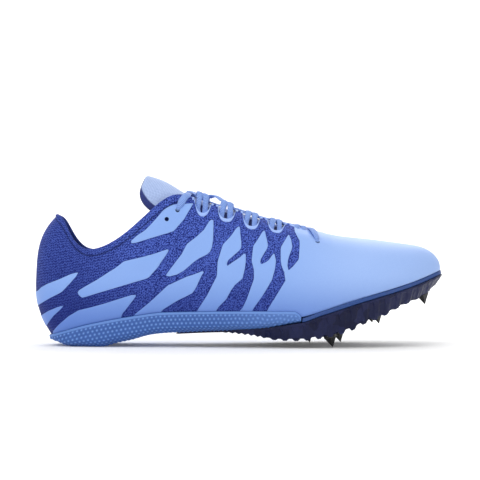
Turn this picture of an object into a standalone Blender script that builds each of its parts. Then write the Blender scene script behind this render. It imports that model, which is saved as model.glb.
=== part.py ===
"""Track spike shoe for the right foot, standing empty on its heel and its front pins.

X runs from heel to toe, Y from the outer to the inner side of the foot, Z up from the
floor. The origin is on the floor under the middle of the shoe's box. The upper, sole,
insole, tongue and laces all come from one outline and one set of cross-sections, so they
follow each other when a size changes.
"""
import bpy
import bmesh
import numpy as np
from mathutils import Matrix, Vector

# Driving sizes, in metres
LENGTH = 0.285
BALL_WIDTH = 0.094
INSTEP = 0.1046
HEEL_HEIGHT = 0.0913
TOE_RISE = 0.0526
CLEARANCE = 0.0003
UPPER_WALL = 0.0018
CUFF_STEP = 0.0010
CUFF_WIDTH_TAB = 0.0012
CUFF_WIDTH_BACK = 0.0045
CUFF_WIDTH_FRONT = 0.0070
BINDING_STEP = 0.0006
BINDING_WIDTH = 0.0030
GROOVE = 0.0005
NOTCH_COUNT = 5
NOTCH_WIDTH = 0.0120
NOTCH_DEPTH = 0.0105
BAND_THICKNESS = 0.0030
BAND_PROUD = 0.0006
NOSE_GAP = 0.0008
NOSE_ROUND = 0.0040
LIP_THICKNESS = 0.0014
LIP_SLOPE = 0.0003
WEDGE_SWELL = 0.0028
WEDGE_SWELL_LOW = 0.0008
WEDGE_STAND = 0.0010
WEDGE_STAND_LOW = 0.0002
WEDGE_INSET = 0.0040
WEDGE_FULL_HEIGHT = 0.0120
PLATE_BASE = 0.0026
PLATE_PROUD = 0.0018
PLATE_TUCK_BACK = 0.0090
PLATE_TUCK_RIBS = 0.0030
PLATE_SHOULDER = 0.0012
PLATE_FOOT = 0.0036
RIB_PITCH = 0.0078
RIB_GROOVE_EDGE = 0.16
RIB_GROOVE_MIDDLE = 0.85
TOOTH_PITCH = 0.0044
TOOTH_DEPTH = 0.0011
PIN_LENGTH = 0.0070
PIN_HALF = 0.0030
PIN_FLANGE_RADIUS = 0.0044
PIN_FLANGE = 0.0014
PIN_LEAN = 0.24
BOSS_WALL = 0.0012
INSOLE_THICKNESS = 0.0030
TONGUE_THICKNESS = 0.0038
TONGUE_OVERLAP = 0.0125
TONGUE_WING = 0.0130
WING_TUCK = 0.0009
TONGUE_REACH = 0.0255
TONGUE_LIFT = 0.0120
TONGUE_FLANK = 0.90
TONGUE_TURN = 0.20
TONGUE_DRAW = 0.10
ARCH_HIGH = 0.62
ARCH_LOW = 0.28
LACE_WIDTH = 0.0048
LACE_THICKNESS = 0.0012
LACE_LIFT = 0.0012

# Each row is one cross-section, from the heel back to the tip of the toe. foot, spine and
# top are places along the shoe as shares of LENGTH: of the lower edge, of the middle of the
# sole and of the upper's top edge. outer, inner, ridge, gap and bulge are shares of
# BALL_WIDTH: the lower edge each side of the axis, the middle of the top, half the opening
# there and how far the wall swells out. The top's height is heel times HEEL_HEIGHT plus
# instep times INSTEP. crown is 0 for a straight wall and 1 for one that rolls over flat.
COLUMNS = ("foot", "outer", "inner", "spine", "top", "ridge", "heel", "instep", "gap", "bulge", "crown")
SECTIONS = np.array((
    (0.040, 0.000, 0.000, 0.115, 0.055, 0.000, 1.000, 0.000, 0.000, 0.143, 0.00),
    (0.048, 0.115, 0.115, 0.118, 0.060, 0.000, 0.990, 0.000, 0.060, 0.130, 0.00),
    (0.070, 0.200, 0.195, 0.128, 0.073, 0.000, 0.950, 0.000, 0.108, 0.103, 0.00),
    (0.107, 0.255, 0.250, 0.148, 0.094, 0.000, 0.825, 0.000, 0.165, 0.080, 0.00),
    (0.155, 0.285, 0.275, 0.180, 0.131, 0.000, 0.735, 0.000, 0.215, 0.060, 0.05),
    (0.210, 0.300, 0.275, 0.222, 0.190, -0.005, 0.000, 0.685, 0.250, 0.045, 0.10),
    (0.275, 0.315, 0.262, 0.278, 0.251, -0.008, 0.000, 0.810, 0.262, 0.038, 0.20),
    (0.340, 0.335, 0.250, 0.340, 0.308, -0.010, 0.000, 0.950, 0.240, 0.032, 0.35),
    (0.405, 0.365, 0.257, 0.405, 0.357, -0.008, 0.000, 1.000, 0.195, 0.030, 0.50),
    (0.470, 0.405, 0.292, 0.470, 0.420, -0.004, 0.000, 0.950, 0.162, 0.030, 0.65),
    (0.535, 0.445, 0.345, 0.535, 0.495, 0.002, 0.000, 0.893, 0.138, 0.028, 0.76),
    (0.600, 0.475, 0.402, 0.600, 0.570, 0.010, 0.000, 0.832, 0.118, 0.024, 0.86),
    (0.660, 0.490, 0.448, 0.660, 0.640, 0.020, 0.000, 0.790, 0.098, 0.020, 0.93),
    (0.720, 0.493, 0.478, 0.720, 0.698, 0.032, 0.000, 0.752, 0.090, 0.018, 1.00),
    (0.780, 0.473, 0.490, 0.775, 0.755, 0.048, 0.000, 0.722, 0.090, 0.016, 1.00),
    (0.835, 0.423, 0.480, 0.820, 0.805, 0.064, 0.000, 0.707, 0.090, 0.014, 1.00),
    (0.885, 0.340, 0.447, 0.853, 0.845, 0.078, 0.000, 0.693, 0.090, 0.012, 1.00),
    (0.926, 0.240, 0.397, 0.876, 0.876, 0.090, 0.000, 0.682, 0.090, 0.010, 1.00),
    (0.958, 0.128, 0.325, 0.892, 0.898, 0.100, 0.000, 0.673, 0.090, 0.008, 1.00),
    (0.985, 0.005, 0.222, 0.901, 0.909, 0.107, 0.000, 0.668, 0.090, 0.006, 1.00),
    (0.993, -0.110, 0.110, 0.904, 0.912, 0.110, 0.000, 0.666, 0.090, 0.006, 1.00),
))
TOE_ROW = len(SECTIONS) - 1
THROAT_TOP_ROW = 8.0
THROAT_END_ROW = 13.0
UPRIGHT_FROM = 0.30
CUFF_TAB_ROW = 1.5

# Side views of the sole: places along the shoe as shares of LENGTH, heights as shares of
# TOE_RISE. SEAT carries the foot, RIM is the wedge's raised edge, WEDGE_UNDER its lower
# face and TREAD the line that the plate's ribs reach.
SEAT = ((0.035, 0.122), (0.090, 0.165), (0.140, 0.225), (0.240, 0.315), (0.320, 0.365),
        (0.450, 0.388), (0.640, 0.392), (0.690, 0.475), (0.780, 0.633), (0.915, 0.846), (1.000, 1.012))
RIM = ((0.035, 0.130), (0.140, 0.297), (0.240, 0.400), (0.320, 0.455), (0.550, 0.475), (0.660, 0.475))
WEDGE_UNDER = ((0.030, 0.090), (0.059, 0.058), (0.082, 0.013), (0.100, 0.000), (0.165, 0.000),
               (0.200, 0.050), (0.240, 0.095), (0.294, 0.167), (0.350, 0.194), (0.544, 0.253),
               (0.645, 0.336), (0.670, 0.370))
TREAD = ((0.345, 0.168), (0.440, 0.192), (0.520, 0.158), (0.600, 0.093), (0.640, 0.093),
         (0.690, 0.122), (0.760, 0.215), (0.800, 0.320), (0.835, 0.385), (0.885, 0.525),
         (0.930, 0.620), (0.965, 0.730), (1.000, 0.905))
WEDGE_NOSE = 0.645
NOSE_SHARE_BEHIND = 0.020
NOSE_SHARE_AHEAD = 0.012
PLATE_START = 0.345
RIBS_START = 0.560
RIBS_END = 0.988
FIRST_NOTCH = 0.410
LAST_NOTCH = 0.647

# Each pin: the place of its tip along the shoe as a share of LENGTH, across it as a share
# of BALL_WIDTH and up from the floor as a share of TOE_RISE
PINS = ((0.675, 0.300, 0.000), (0.722, -0.345, 0.000), (0.753, 0.350, 0.000), (0.819, -0.230, 0.310),
        (0.849, 0.330, 0.252), (0.953, -0.020, 0.535), (0.960, 0.215, 0.525))

PALETTE = {
    "mesh": ((0.031, 0.062, 0.312), 0.85),
    "wedge foam": ((0.068, 0.165, 0.460), 0.55),
    "band foam": ((0.027, 0.091, 0.350), 0.50),
    "plate": ((0.015, 0.021, 0.074), 0.35),
    "pin steel": ((0.013, 0.014, 0.018), 0.30),
    "insole cloth": ((0.030, 0.060, 0.250), 0.90),
    "tongue cloth": ((0.405, 0.522, 0.817), 0.85),
    "lace": ((0.300, 0.460, 0.910), 0.80),
}


def monotone(table, at):
    """Smooth curve through the rows of a two-column table that never overshoots them."""
    table = np.asarray(table, float)
    place, value = table[:, 0], table[:, 1]
    step = np.diff(place)
    rise = np.diff(value) / step
    slope = np.zeros(len(place))
    same = rise[1:] * rise[:-1] > 0
    slope[1:-1][same] = 2 * rise[1:][same] * rise[:-1][same] / (rise[1:] + rise[:-1])[same]
    slope[0], slope[-1] = rise[0], rise[-1]
    at = np.clip(at, place[0], place[-1])
    low = np.clip(np.searchsorted(place, at, side="right") - 1, 0, len(step) - 1)
    part = (at - place[low]) / step[low]
    start = (1 + 2 * part) * (1 - part) ** 2 * value[low] + part * (1 - part) ** 2 * step[low] * slope[low]
    end = part ** 2 * (3 - 2 * part) * value[low + 1] - part ** 2 * (1 - part) * step[low] * slope[low + 1]
    return start + end


def closed_spline(values, at):
    """Cubic curve with smooth bends through values at whole numbers that closes on itself."""
    values = np.asarray(values, float)
    count = len(values)
    one = np.eye(count)
    system = 4 * one + np.roll(one, 1, 0) + np.roll(one, -1, 0)
    bend = np.linalg.solve(system, 6 * (np.roll(values, -1) - 2 * values + np.roll(values, 1)))
    at = np.mod(at, count)
    low = np.floor(at).astype(int) % count
    high = (low + 1) % count
    part = at - np.floor(at)
    back = 1 - part
    return (back * values[low] + part * values[high]
            + ((back ** 3 - back) * bend[low] + (part ** 3 - part) * bend[high]) / 6)


def row_of(turn):
    """The section row that a place on the ring belongs to; the ring goes out along the
    outer side from 0 to TOE_ROW and comes back along the inner side."""
    turn = np.mod(turn, 2 * TOE_ROW)
    return np.where(turn <= TOE_ROW, turn, 2 * TOE_ROW - turn)


def both_sides(name, turn):
    """A column of the table read round the ring, the same on both sides."""
    column = SECTIONS[:, COLUMNS.index(name)]
    return closed_spline(np.concatenate((column, column[-2:0:-1])), turn)


def outline(turn):
    """Plan of the upper's lower edge: x and y at places on the ring."""
    outer = SECTIONS[:, COLUMNS.index("outer")]
    inner = SECTIONS[:, COLUMNS.index("inner")]
    across = closed_spline(np.concatenate((-outer, inner[-2:0:-1])), turn)
    return np.stack((both_sides("foot", turn) * LENGTH, across * BALL_WIDTH), -1)


def outward(turn):
    """Unit vector in plan that points out of the outline."""
    near = 0.01
    along = outline(turn + near) - outline(turn - near)
    out = np.stack((along[..., 1], -along[..., 0]), -1)
    return out / np.linalg.norm(out, axis=-1, keepdims=True)


def top_edge(turn):
    """The point where each section ends above, at the collar, the throat or the ridge."""
    row = row_of(turn)
    heel = SECTIONS[:, COLUMNS.index("heel")] * HEEL_HEIGHT
    height = heel + SECTIONS[:, COLUMNS.index("instep")] * INSTEP
    up = closed_spline(np.concatenate((height, height[-2:0:-1])), turn)
    rounding = np.sqrt(1 - np.clip(row - THROAT_END_ROW + 1, 0, 1) ** 2)
    gap = np.maximum(both_sides("gap", turn), 0) * rounding * BALL_WIDTH
    gap = np.where(row < 1e-6, 0, gap)
    side = np.where(np.mod(turn, 2 * TOE_ROW) <= TOE_ROW, -1, 1)
    across = both_sides("ridge", turn) * BALL_WIDTH + side * gap
    return np.stack((both_sides("top", turn) * LENGTH, across, up), -1)


def seat(along):
    """Height of the face that the upper and the insole stand on."""
    return monotone(SEAT, along / LENGTH) * TOE_RISE


def upper_form(turn, share):
    """Outer face of the upper. A section's plan runs from the lower edge to the top edge
    as a mix of a straight line and a quarter ellipse, and swells out in between."""
    turn, share = np.broadcast_arrays(np.asarray(turn, float), np.asarray(share, float))
    foot = outline(turn)
    top = top_edge(turn)
    crown = np.clip(both_sides("crown", turn), 0, 1)
    angle = share * np.pi / 2
    inward = (1 - crown) * (1 - share) + crown * np.cos(angle)
    upward = (1 - crown) * share + crown * np.sin(angle)
    swell = both_sides("bulge", turn) * BALL_WIDTH * (1 - np.abs(2 * share ** 1.1 - 1) ** 3)
    plan = top[..., :2] + (foot - top[..., :2]) * inward[..., None] + outward(turn) * swell[..., None]
    base = seat(foot[..., 0])
    return np.concatenate((plan, (base + (top[..., 2] - base) * upward)[..., None]), -1)


def form_normal(turn, share):
    """Unit vector out of the upper's outer face."""
    near = 0.02
    low, high = np.maximum(share - near, 0), np.minimum(share + near, 1)
    along = upper_form(turn + near, share) - upper_form(turn - near, share)
    up = upper_form(turn, high) - upper_form(turn, low)
    out = np.cross(along, up)
    return out / np.maximum(np.linalg.norm(out, axis=-1, keepdims=True), 1e-12)


def notch_places():
    """Places of the lacing notches along the top edge, as shares of LENGTH."""
    return np.linspace(FIRST_NOTCH, LAST_NOTCH, NOTCH_COUNT)


def edge_lines(turn):
    """Per place on the ring: the share where the wall ends, the share of the line under
    its cuff or binding, that line as if there were no notches, how far the cuff or binding
    stands out, and the width of the groove under it as a share."""
    row = row_of(turn)
    speed = np.linalg.norm(upper_form(turn, 1.0) - upper_form(turn, 0.98), axis=-1) / 0.02
    along = both_sides("top", turn) * LENGTH
    off = np.abs(along[..., None] - notch_places() * LENGTH).min(-1) / (NOTCH_WIDTH / 2)
    depth = NOTCH_DEPTH * np.sqrt(np.clip(1 - np.clip(off, 0, 1) ** 3, 0, 1))
    end = 1 - np.where(row > THROAT_TOP_ROW, depth, 0) / speed
    collar = np.clip(THROAT_TOP_ROW + 0.5 - row, 0, 1)
    back = np.clip(row / THROAT_TOP_ROW, 0, 1)
    cuff = CUFF_WIDTH_BACK + (CUFF_WIDTH_FRONT - CUFF_WIDTH_BACK) * back
    cuff = CUFF_WIDTH_TAB + (cuff - CUFF_WIDTH_TAB) * np.clip(row / CUFF_TAB_ROW, 0, 1)
    width = collar * cuff + (1 - collar) * BINDING_WIDTH
    open_part = np.clip(THROAT_END_ROW - row, 0, 1)
    step = (collar * CUFF_STEP + (1 - collar) * BINDING_STEP) * open_part
    return end, end - width / speed, 1 - width / speed, step, GROOVE / speed


def upright(turn, share):
    """Places on the ring that keep a column of the wall above one place along the shoe next
    to the throat, so that the lacing notches hang straight down. It fades out below."""
    turn, share = np.broadcast_arrays(np.asarray(turn, float), np.asarray(share, float))
    row = row_of(turn)
    ahead = (both_sides("foot", turn) - both_sides("top", turn)) * np.cos(share * np.pi / 2)
    pace = np.maximum(both_sides("top", row + 0.1) - both_sides("top", row - 0.1), 0.002) / 0.2
    inside = np.clip(row - THROAT_TOP_ROW, 0, 1) * np.clip(THROAT_END_ROW - row, 0, 1)
    fade = np.clip((share - UPRIGHT_FROM) / (1 - UPRIGHT_FROM) * 2, 0, 1)
    shift = ahead / pace * inside * fade ** 2 * (3 - 2 * fade)
    return np.where(np.mod(turn, 2 * TOE_ROW) <= TOE_ROW, turn - shift, turn + shift)


def ring_places():
    """Places on the ring where the upper is sampled: close together at the notches."""
    heel = np.arange(0, THROAT_TOP_ROW, 0.5)
    throat = np.linspace(THROAT_TOP_ROW, THROAT_END_ROW, 36)
    toe = np.arange(THROAT_END_ROW + 0.5, TOE_ROW + 0.1, 0.5)
    out = np.concatenate((heel, throat, toe))
    return np.concatenate((out, 2 * TOE_ROW - out[-2:0:-1]))


def add_solid(name, vertices, faces, material):
    """One closed mesh object with shared corners and faces that point out."""
    mesh = bpy.data.meshes.new(name)
    mesh.from_pydata(np.asarray(vertices, float).reshape(-1, 3).tolist(), [], [list(f) for f in faces])
    body = bmesh.new()
    body.from_mesh(mesh)
    bmesh.ops.remove_doubles(body, verts=body.verts, dist=2e-6)
    bmesh.ops.dissolve_degenerate(body, edges=body.edges, dist=1e-6)
    bmesh.ops.recalc_face_normals(body, faces=body.faces)
    body.to_mesh(mesh)
    body.free()
    mesh.materials.append(paint(material))
    made = bpy.data.objects.new(name, mesh)
    bpy.context.collection.objects.link(made)
    return made


def paint(name):
    """The material of that name, made once."""
    if name in bpy.data.materials:
        return bpy.data.materials[name]
    color, roughness = PALETTE[name]
    material = bpy.data.materials.new(name)
    material.use_nodes = True
    shader = material.node_tree.nodes["Principled BSDF"]
    shader.inputs["Base Color"].default_value = (*color, 1)
    shader.inputs["Roughness"].default_value = roughness
    shader.inputs["Metallic"].default_value = 0.9 if name == "pin steel" else 0.0
    return material


def grid_faces(rows, columns, start=0, close=False):
    """Quads of a grid of corners, rows joined end to start where close is set."""
    last = rows if close else rows - 1
    here = np.arange(last)[:, None]
    side = np.arange(columns - 1)[None, :]
    after = (here + 1) % rows
    first, next_one = here * columns + side, after * columns + side
    corners = np.stack((first, next_one, next_one + 1, first + 1), -1)
    return (corners.reshape(-1, 4) + start).tolist()


def centred(points):
    """Moves points measured from the heel back to the frame with its origin mid-length."""
    return points - np.array((LENGTH / 2, 0, 0))


def make_upper():
    """One hollow shell: the outer face, the inner face one wall further in, and the rims
    that join them below and round the collar and throat."""
    turn = ring_places()
    row = row_of(turn)
    count = len(turn)
    end, line, even, step, groove = edge_lines(turn)
    outer_shares = np.array((0, 0.06, 0.16, 0.30, 0.46, 0.64, 0.80))
    inner_shares = np.array((0, 0.18, 0.42, 0.64, 0.78, 0.87))
    share = np.concatenate((outer_shares * even[:, None], line[:, None], (line + groove)[:, None],
                            end[:, None]), 1)
    places = upright(turn[:, None], share)
    raised = np.zeros(share.shape)
    raised[:, -2:] = step[:, None]
    outer = upper_form(places, share) + form_normal(places, share) * raised[..., None]
    share = np.concatenate((inner_shares * even[:, None], line[:, None], end[:, None]), 1)
    places = upright(turn[:, None], share)
    inner = upper_form(places, share) - form_normal(places, share) * UPPER_WALL
    flat = np.concatenate((outward(turn), np.zeros((count, 1))), 1)
    inner[:, 0] = outer[:, 0] - flat * UPPER_WALL
    inner[:, 0, 2] = seat(inner[:, 0, 0])
    closed = row >= THROAT_END_ROW
    mate = (count - np.arange(count)) % count
    for face in (outer, inner):
        face[closed, -1] = ((face[:, -1] + face[mate, -1]) / 2)[closed]
    faces = grid_faces(count, outer.shape[1], close=True)
    begin = outer.shape[0] * outer.shape[1]
    faces += grid_faces(count, inner.shape[1], begin, close=True)
    after = (np.arange(count) + 1) % count
    low = np.stack((np.arange(count), after), 1)
    faces += np.concatenate((low * outer.shape[1], begin + low[:, ::-1] * inner.shape[1]), 1).tolist()
    rim = low[~(closed & closed[after])]
    top = rim * outer.shape[1] + outer.shape[1] - 1
    under = begin + rim[:, ::-1] * inner.shape[1] + inner.shape[1] - 1
    faces += np.concatenate((top, under), 1).tolist()
    points = np.concatenate((outer.reshape(-1, 3), inner.reshape(-1, 3)))
    return add_solid("upper", centred(points), faces, "mesh")


def middle(row):
    """The middle line of the sole at section rows: x and y."""
    turn = np.asarray(row, float)
    return np.stack((both_sides("spine", turn) * LENGTH,
                     (outline(turn)[..., 1] + outline(-turn)[..., 1]) / 2), -1)


def row_at(place):
    """The section row whose lower edge lies at a share of LENGTH."""
    rows = np.linspace(0, TOE_ROW, 40 * TOE_ROW + 1)
    return np.interp(place, both_sides("foot", rows), rows)


def make_layer(name, rows, loop, material):
    """A closed slab across the foot. loop(row, side) gives, for one side (-1 outer, 1
    inner), the corners from the middle line on top round the edge to the middle below."""
    outer, inner = loop(rows, -1), loop(rows, 1)
    ring = np.concatenate((outer, inner[:, ::-1][:, 1:-1]), 1)
    count, corners = ring.shape[:2]
    faces = grid_faces(count, corners)
    here = np.arange(count - 1)
    seam = np.stack((here * corners + corners - 1, (here + 1) * corners + corners - 1,
                     (here + 1) * corners, here * corners), 1)
    faces += seam.tolist()
    half = outer.shape[1]
    for end in (0, count - 1):
        low, high = 0, corners
        base = end * corners
        for step in range(half - 1):
            left = (low + step, low + step + 1)
            right = ((high - step - 1) % corners if step + 1 < half else half - 1, (high - step) % corners)
            faces.append([base + left[0], base + left[1], base + right[0], base + right[1]])
    return add_solid(name, centred(ring), [list(dict.fromkeys(f)) for f in faces], material)


def edge_at(row, side):
    """Plan and outward direction of the lower edge of one side at section rows."""
    turn = row if side < 0 else 2 * TOE_ROW - row
    return turn, outline(turn), outward(turn)


def level(plan, height):
    """Corners from a plan and heights."""
    return np.concatenate((plan, np.broadcast_to(height, plan.shape[:-1])[..., None]), -1)


def blend(edge, spine, share):
    """Plan points at a share of the way from the edge to the middle line."""
    return edge + (spine - edge) * share


def wedge_under(along):
    """Lower face of the foam wedge."""
    return monotone(WEDGE_UNDER, along / LENGTH) * TOE_RISE


def wedge_loop(row, side):
    """Section of the wedge: flat seat, a thin lip up the upper's side, a full outer wall
    that draws in below, and the under face."""
    turn, edge, out = edge_at(row, side)
    spine = middle(row)
    base = seat(edge[:, 0])
    room = np.clip((WEDGE_NOSE * LENGTH - edge[:, 0]) / NOSE_ROUND, 0, 1)
    height = monotone(RIM, edge[:, 0] / LENGTH) * TOE_RISE - base
    rim = base + np.maximum(height, CLEARANCE) * np.sqrt(room)
    top = top_edge(turn)[:, 2]
    crown = np.clip(both_sides("crown", turn), 0, 1)
    share = (rim - base) / (top - base) / ((1 - crown) + crown * np.pi / 2)
    wall = upper_form(turn, share)[:, :2] + out * CLEARANCE
    under = wedge_under(edge[:, 0])
    deep = np.clip((rim - under) / WEDGE_FULL_HEIGHT, 0, 1)[:, None]
    half = blend(edge, spine, 0.5)
    inset = edge - out * WEDGE_INSET * deep
    corners = (
        level(spine, seat(spine[:, 0]) - CLEARANCE),
        level(half, seat(half[:, 0]) - CLEARANCE),
        level(edge + out * CLEARANCE, base - CLEARANCE),
        level(wall, rim),
        level(wall + out * LIP_THICKNESS, rim - LIP_SLOPE),
        level(edge + out * (WEDGE_SWELL * deep + WEDGE_STAND), rim * 0.62 + under * 0.38),
        level(edge + out * (WEDGE_SWELL_LOW * deep + WEDGE_STAND_LOW), rim * 0.15 + under * 0.85),
        level(inset, wedge_under(inset[:, 0])),
        level(half, wedge_under(half[:, 0])),
        level(spine, wedge_under(spine[:, 0])),
    )
    return np.stack(corners, 1)


def make_wedge():
    """Foam under the heel and the arch, ending in a blunt nose before the ball."""
    nose = row_at(WEDGE_NOSE)
    rows = np.concatenate((np.arange(0, 5, 0.5), np.arange(5, nose - 0.5, 0.5),
                           nose - np.array((0.30, 0.14, 0.06, 0.0))))
    return make_layer("heel_wedge", rows, wedge_loop, "wedge foam")


def band_under(along):
    """Lower face of the forefoot band."""
    return seat(along) - CLEARANCE - BAND_THICKNESS


def band_loop(row, side):
    """Section of the band: flat faces and a slightly leaning edge."""
    _, edge, out = edge_at(row, side)
    spine = middle(row)
    upper_edge = edge + out * BAND_PROUD
    lower_edge = edge + out * BAND_PROUD * 2
    half = blend(edge, spine, 0.5)
    corners = (
        level(spine, seat(spine[:, 0]) - CLEARANCE),
        level(half, seat(half[:, 0]) - CLEARANCE),
        level(upper_edge, seat(upper_edge[:, 0]) - CLEARANCE),
        level(lower_edge, band_under(lower_edge[:, 0])),
        level(half, band_under(half[:, 0])),
        level(spine, band_under(spine[:, 0])),
    )
    return np.stack(corners, 1)


def make_band():
    """Thin foam layer from the wedge's nose to the toe."""
    start = row_at(WEDGE_NOSE + NOSE_GAP / LENGTH)
    rows = np.concatenate((np.arange(start, 14, 0.25), np.arange(14, TOE_ROW + 0.1, 0.5)))
    return make_layer("forefoot_band", rows, band_loop, "band foam")


def plate_top(along):
    """Upper face of the plate, under the wedge and then under the band."""
    wedge, band = wedge_under(along), band_under(along)
    near_nose = along > (WEDGE_NOSE - NOSE_SHARE_BEHIND) * LENGTH
    past_nose = along > (WEDGE_NOSE + NOSE_SHARE_AHEAD) * LENGTH
    under = np.where(near_nose, np.minimum(wedge, band), wedge)
    return np.where(past_nose, band, under) - CLEARANCE


def plate_rows():
    """Section rows of the plate with how far each reaches down: fine teeth under the arch
    and then ribs, each with a sloped front and back."""
    teeth = np.arange(PLATE_START * LENGTH, RIBS_START * LENGTH, TOOTH_PITCH / 2)
    saw = np.tile((0.0, 1.0), len(teeth))[:len(teeth)]
    rib = np.array((0.0, 0.30, 0.52, 0.80))
    limit = RIBS_END * LENGTH
    starts = np.arange(RIBS_START * LENGTH, limit, RIB_PITCH)
    ribs = (starts[:, None] + rib * RIB_PITCH).ravel()
    depth = np.tile((0.0, 0.0, 1.0, 1.0), len(starts))
    along = np.concatenate((teeth, ribs))
    reach = np.concatenate((saw, depth))
    kept = along < limit
    return row_at(along[kept] / LENGTH), reach[kept], (np.arange(len(along)) < len(teeth))[kept]


def make_plate():
    """Stiff plate under arch and ball: a rim, a base and ribs down to the tread line."""
    rows, reach, toothed = plate_rows()
    rows = np.append(rows, TOE_ROW)
    reach = np.append(reach, 0.0)
    toothed = np.append(toothed, False)

    def loop(row, side):
        _, edge, out = edge_at(row, side)
        spine = middle(row)
        tuck = monotone(((PLATE_START, PLATE_TUCK_BACK), (RIBS_START, PLATE_TUCK_RIBS),
                         (WEDGE_NOSE, -PLATE_PROUD), (1.0, -PLATE_PROUD)), edge[:, 0] / LENGTH)
        rim = edge - out * tuck[:, None]
        shoulder = rim - out * PLATE_SHOULDER
        foot = rim - out * PLATE_FOOT
        half = blend(edge, spine, 0.5)

        def under(plan, dip, groove):
            top = plate_top(plan[:, 0])
            thin = top - PLATE_BASE * np.where(toothed, 0.5, 1.0)
            tread = monotone(TREAD, plan[:, 0] / LENGTH) * TOE_RISE
            full = 1 - groove * (1 - reach)
            deep = np.where(toothed, tread + TOOTH_DEPTH * (1 - reach), thin + (tread - thin) * full * dip)
            return np.minimum(deep, thin)

        corners = (
            level(spine, plate_top(spine[:, 0])),
            level(half, plate_top(half[:, 0])),
            level(rim, plate_top(rim[:, 0])),
            level(rim, plate_top(rim[:, 0]) - PLATE_BASE * 0.45),
            level(shoulder, under(shoulder, 0.30, 1.0)),
            level(foot, under(foot, 1.0, RIB_GROOVE_EDGE)),
            level(half, under(half, 0.92, RIB_GROOVE_MIDDLE)),
            level(spine, under(spine, 0.66, RIB_GROOVE_MIDDLE)),
        )
        return np.stack(corners, 1)

    plate = make_layer("spike_plate", rows, loop, "plate")
    cut_pin_seats(plate)
    return plate


def pin_frames():
    """For each pin, the matrix that carries its own axis, pointing up from the tip."""
    frames = []
    for along, across, height in PINS:
        tip = Vector((along * LENGTH - LENGTH / 2, across * BALL_WIDTH, height * TOE_RISE))
        lean = Matrix.Rotation(-PIN_LEAN, 4, "Y")
        frames.append(Matrix.Translation(tip) @ lean)
    return frames


def prism(radius, low, high, sides, frame):
    """Corners and faces of an upright prism in a pin's frame."""
    angle = np.arange(sides) * 2 * np.pi / sides
    ring = np.stack((radius * np.cos(angle), radius * np.sin(angle)), 1)
    points = [frame @ Vector((x, y, z)) for z in (low, high) for x, y in ring]
    faces = [[i, (i + 1) % sides, sides + (i + 1) % sides, sides + i] for i in range(sides)]
    faces += [list(range(sides))[::-1], list(range(sides, 2 * sides))]
    return [tuple(p) for p in points], faces


def joined_prisms(name, radius, low, highs, sides):
    """One hidden helper mesh with a prism for each pin."""
    points, faces = [], []
    for frame, high in zip(pin_frames(), highs):
        more, ring = prism(radius, low, high, sides, frame)
        faces += [[corner + len(points) for corner in face] for face in ring]
        points += more
    helper = add_solid(name, points, faces, "plate")
    helper.hide_render = True
    helper.display_type = "WIRE"
    return helper


def cut_pin_seats(plate):
    """Gives the plate a round boss for each pin, then clears the ribs round its flange."""
    seat_height = PIN_LENGTH + PIN_FLANGE + CLEARANCE
    along, _, height = np.array(PINS).T
    tall = np.zeros(len(PINS))
    for _ in range(6):
        over = plate_top(along * LENGTH - tall * np.sin(PIN_LEAN))
        tall = (over - height * TOE_RISE) / np.cos(PIN_LEAN)
    highs = tall - PLATE_BASE * 0.6
    boss = joined_prisms("boss helper", PIN_FLANGE_RADIUS + CLEARANCE + BOSS_WALL, seat_height, highs, 12)
    well = joined_prisms("well helper", PIN_FLANGE_RADIUS + CLEARANCE * 2, -0.01,
                         [seat_height] * len(PINS), 12)
    for helper, way in ((boss, "UNION"), (well, "DIFFERENCE")):
        cut = plate.modifiers.new(helper.name, "BOOLEAN")
        cut.operation = way
        cut.object = helper


def make_pins():
    """Screw-in steel pins: a round flange and a four-sided point."""
    made = []
    angle = np.arange(8) * np.pi / 4
    square = PIN_HALF * np.where(np.arange(8) % 2 == 0, np.sqrt(2) * 0.98, 1.0)
    levels = ((PIN_LENGTH + PIN_FLANGE, np.full(8, PIN_FLANGE_RADIUS)),
              (PIN_LENGTH, np.full(8, PIN_FLANGE_RADIUS)), (PIN_LENGTH, square * 0.98))
    for number, frame in enumerate(pin_frames(), 1):
        points = [tuple(frame @ Vector((r * np.cos(a), r * np.sin(a), z)))
                  for z, radii in levels for r, a in zip(radii, angle)]
        points.append(tuple(frame @ Vector((0, 0, 0))))
        faces = [list(range(8))]
        faces += [[8 * k + i, 8 * k + (i + 1) % 8, 8 * k + 8 + (i + 1) % 8, 8 * k + 8 + i]
                  for k in range(2) for i in range(8)]
        faces += [[16 + i, 16 + (i + 1) % 8, 24] for i in range(8)]
        made.append(add_solid(f"spike_{number}", points, faces, "pin steel"))
    return made


def insole_loop(row, side):
    """Section of the insole: it fills the floor of the upper, one clearance in."""
    _, edge, out = edge_at(row, side)
    spine = middle(row)
    rim = edge - out * (UPPER_WALL + CLEARANCE * 2)
    half = blend(rim, spine, 0.5)
    corners = (
        level(spine, seat(spine[:, 0]) + INSOLE_THICKNESS),
        level(half, seat(half[:, 0]) + INSOLE_THICKNESS),
        level(rim, seat(rim[:, 0]) + INSOLE_THICKNESS * 1.2),
        level(rim, seat(rim[:, 0])),
        level(half, seat(half[:, 0])),
        level(spine, seat(spine[:, 0])),
    )
    return np.stack(corners, 1)


def make_insole():
    """Flat sock of foam and cloth on the sole's seat."""
    rows = np.concatenate((np.arange(0, 4, 0.5), np.arange(4, 17, 0.75), np.arange(17, TOE_ROW + 0.1, 0.5)))
    return make_layer("insole", rows, insole_loop, "insole cloth")


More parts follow.
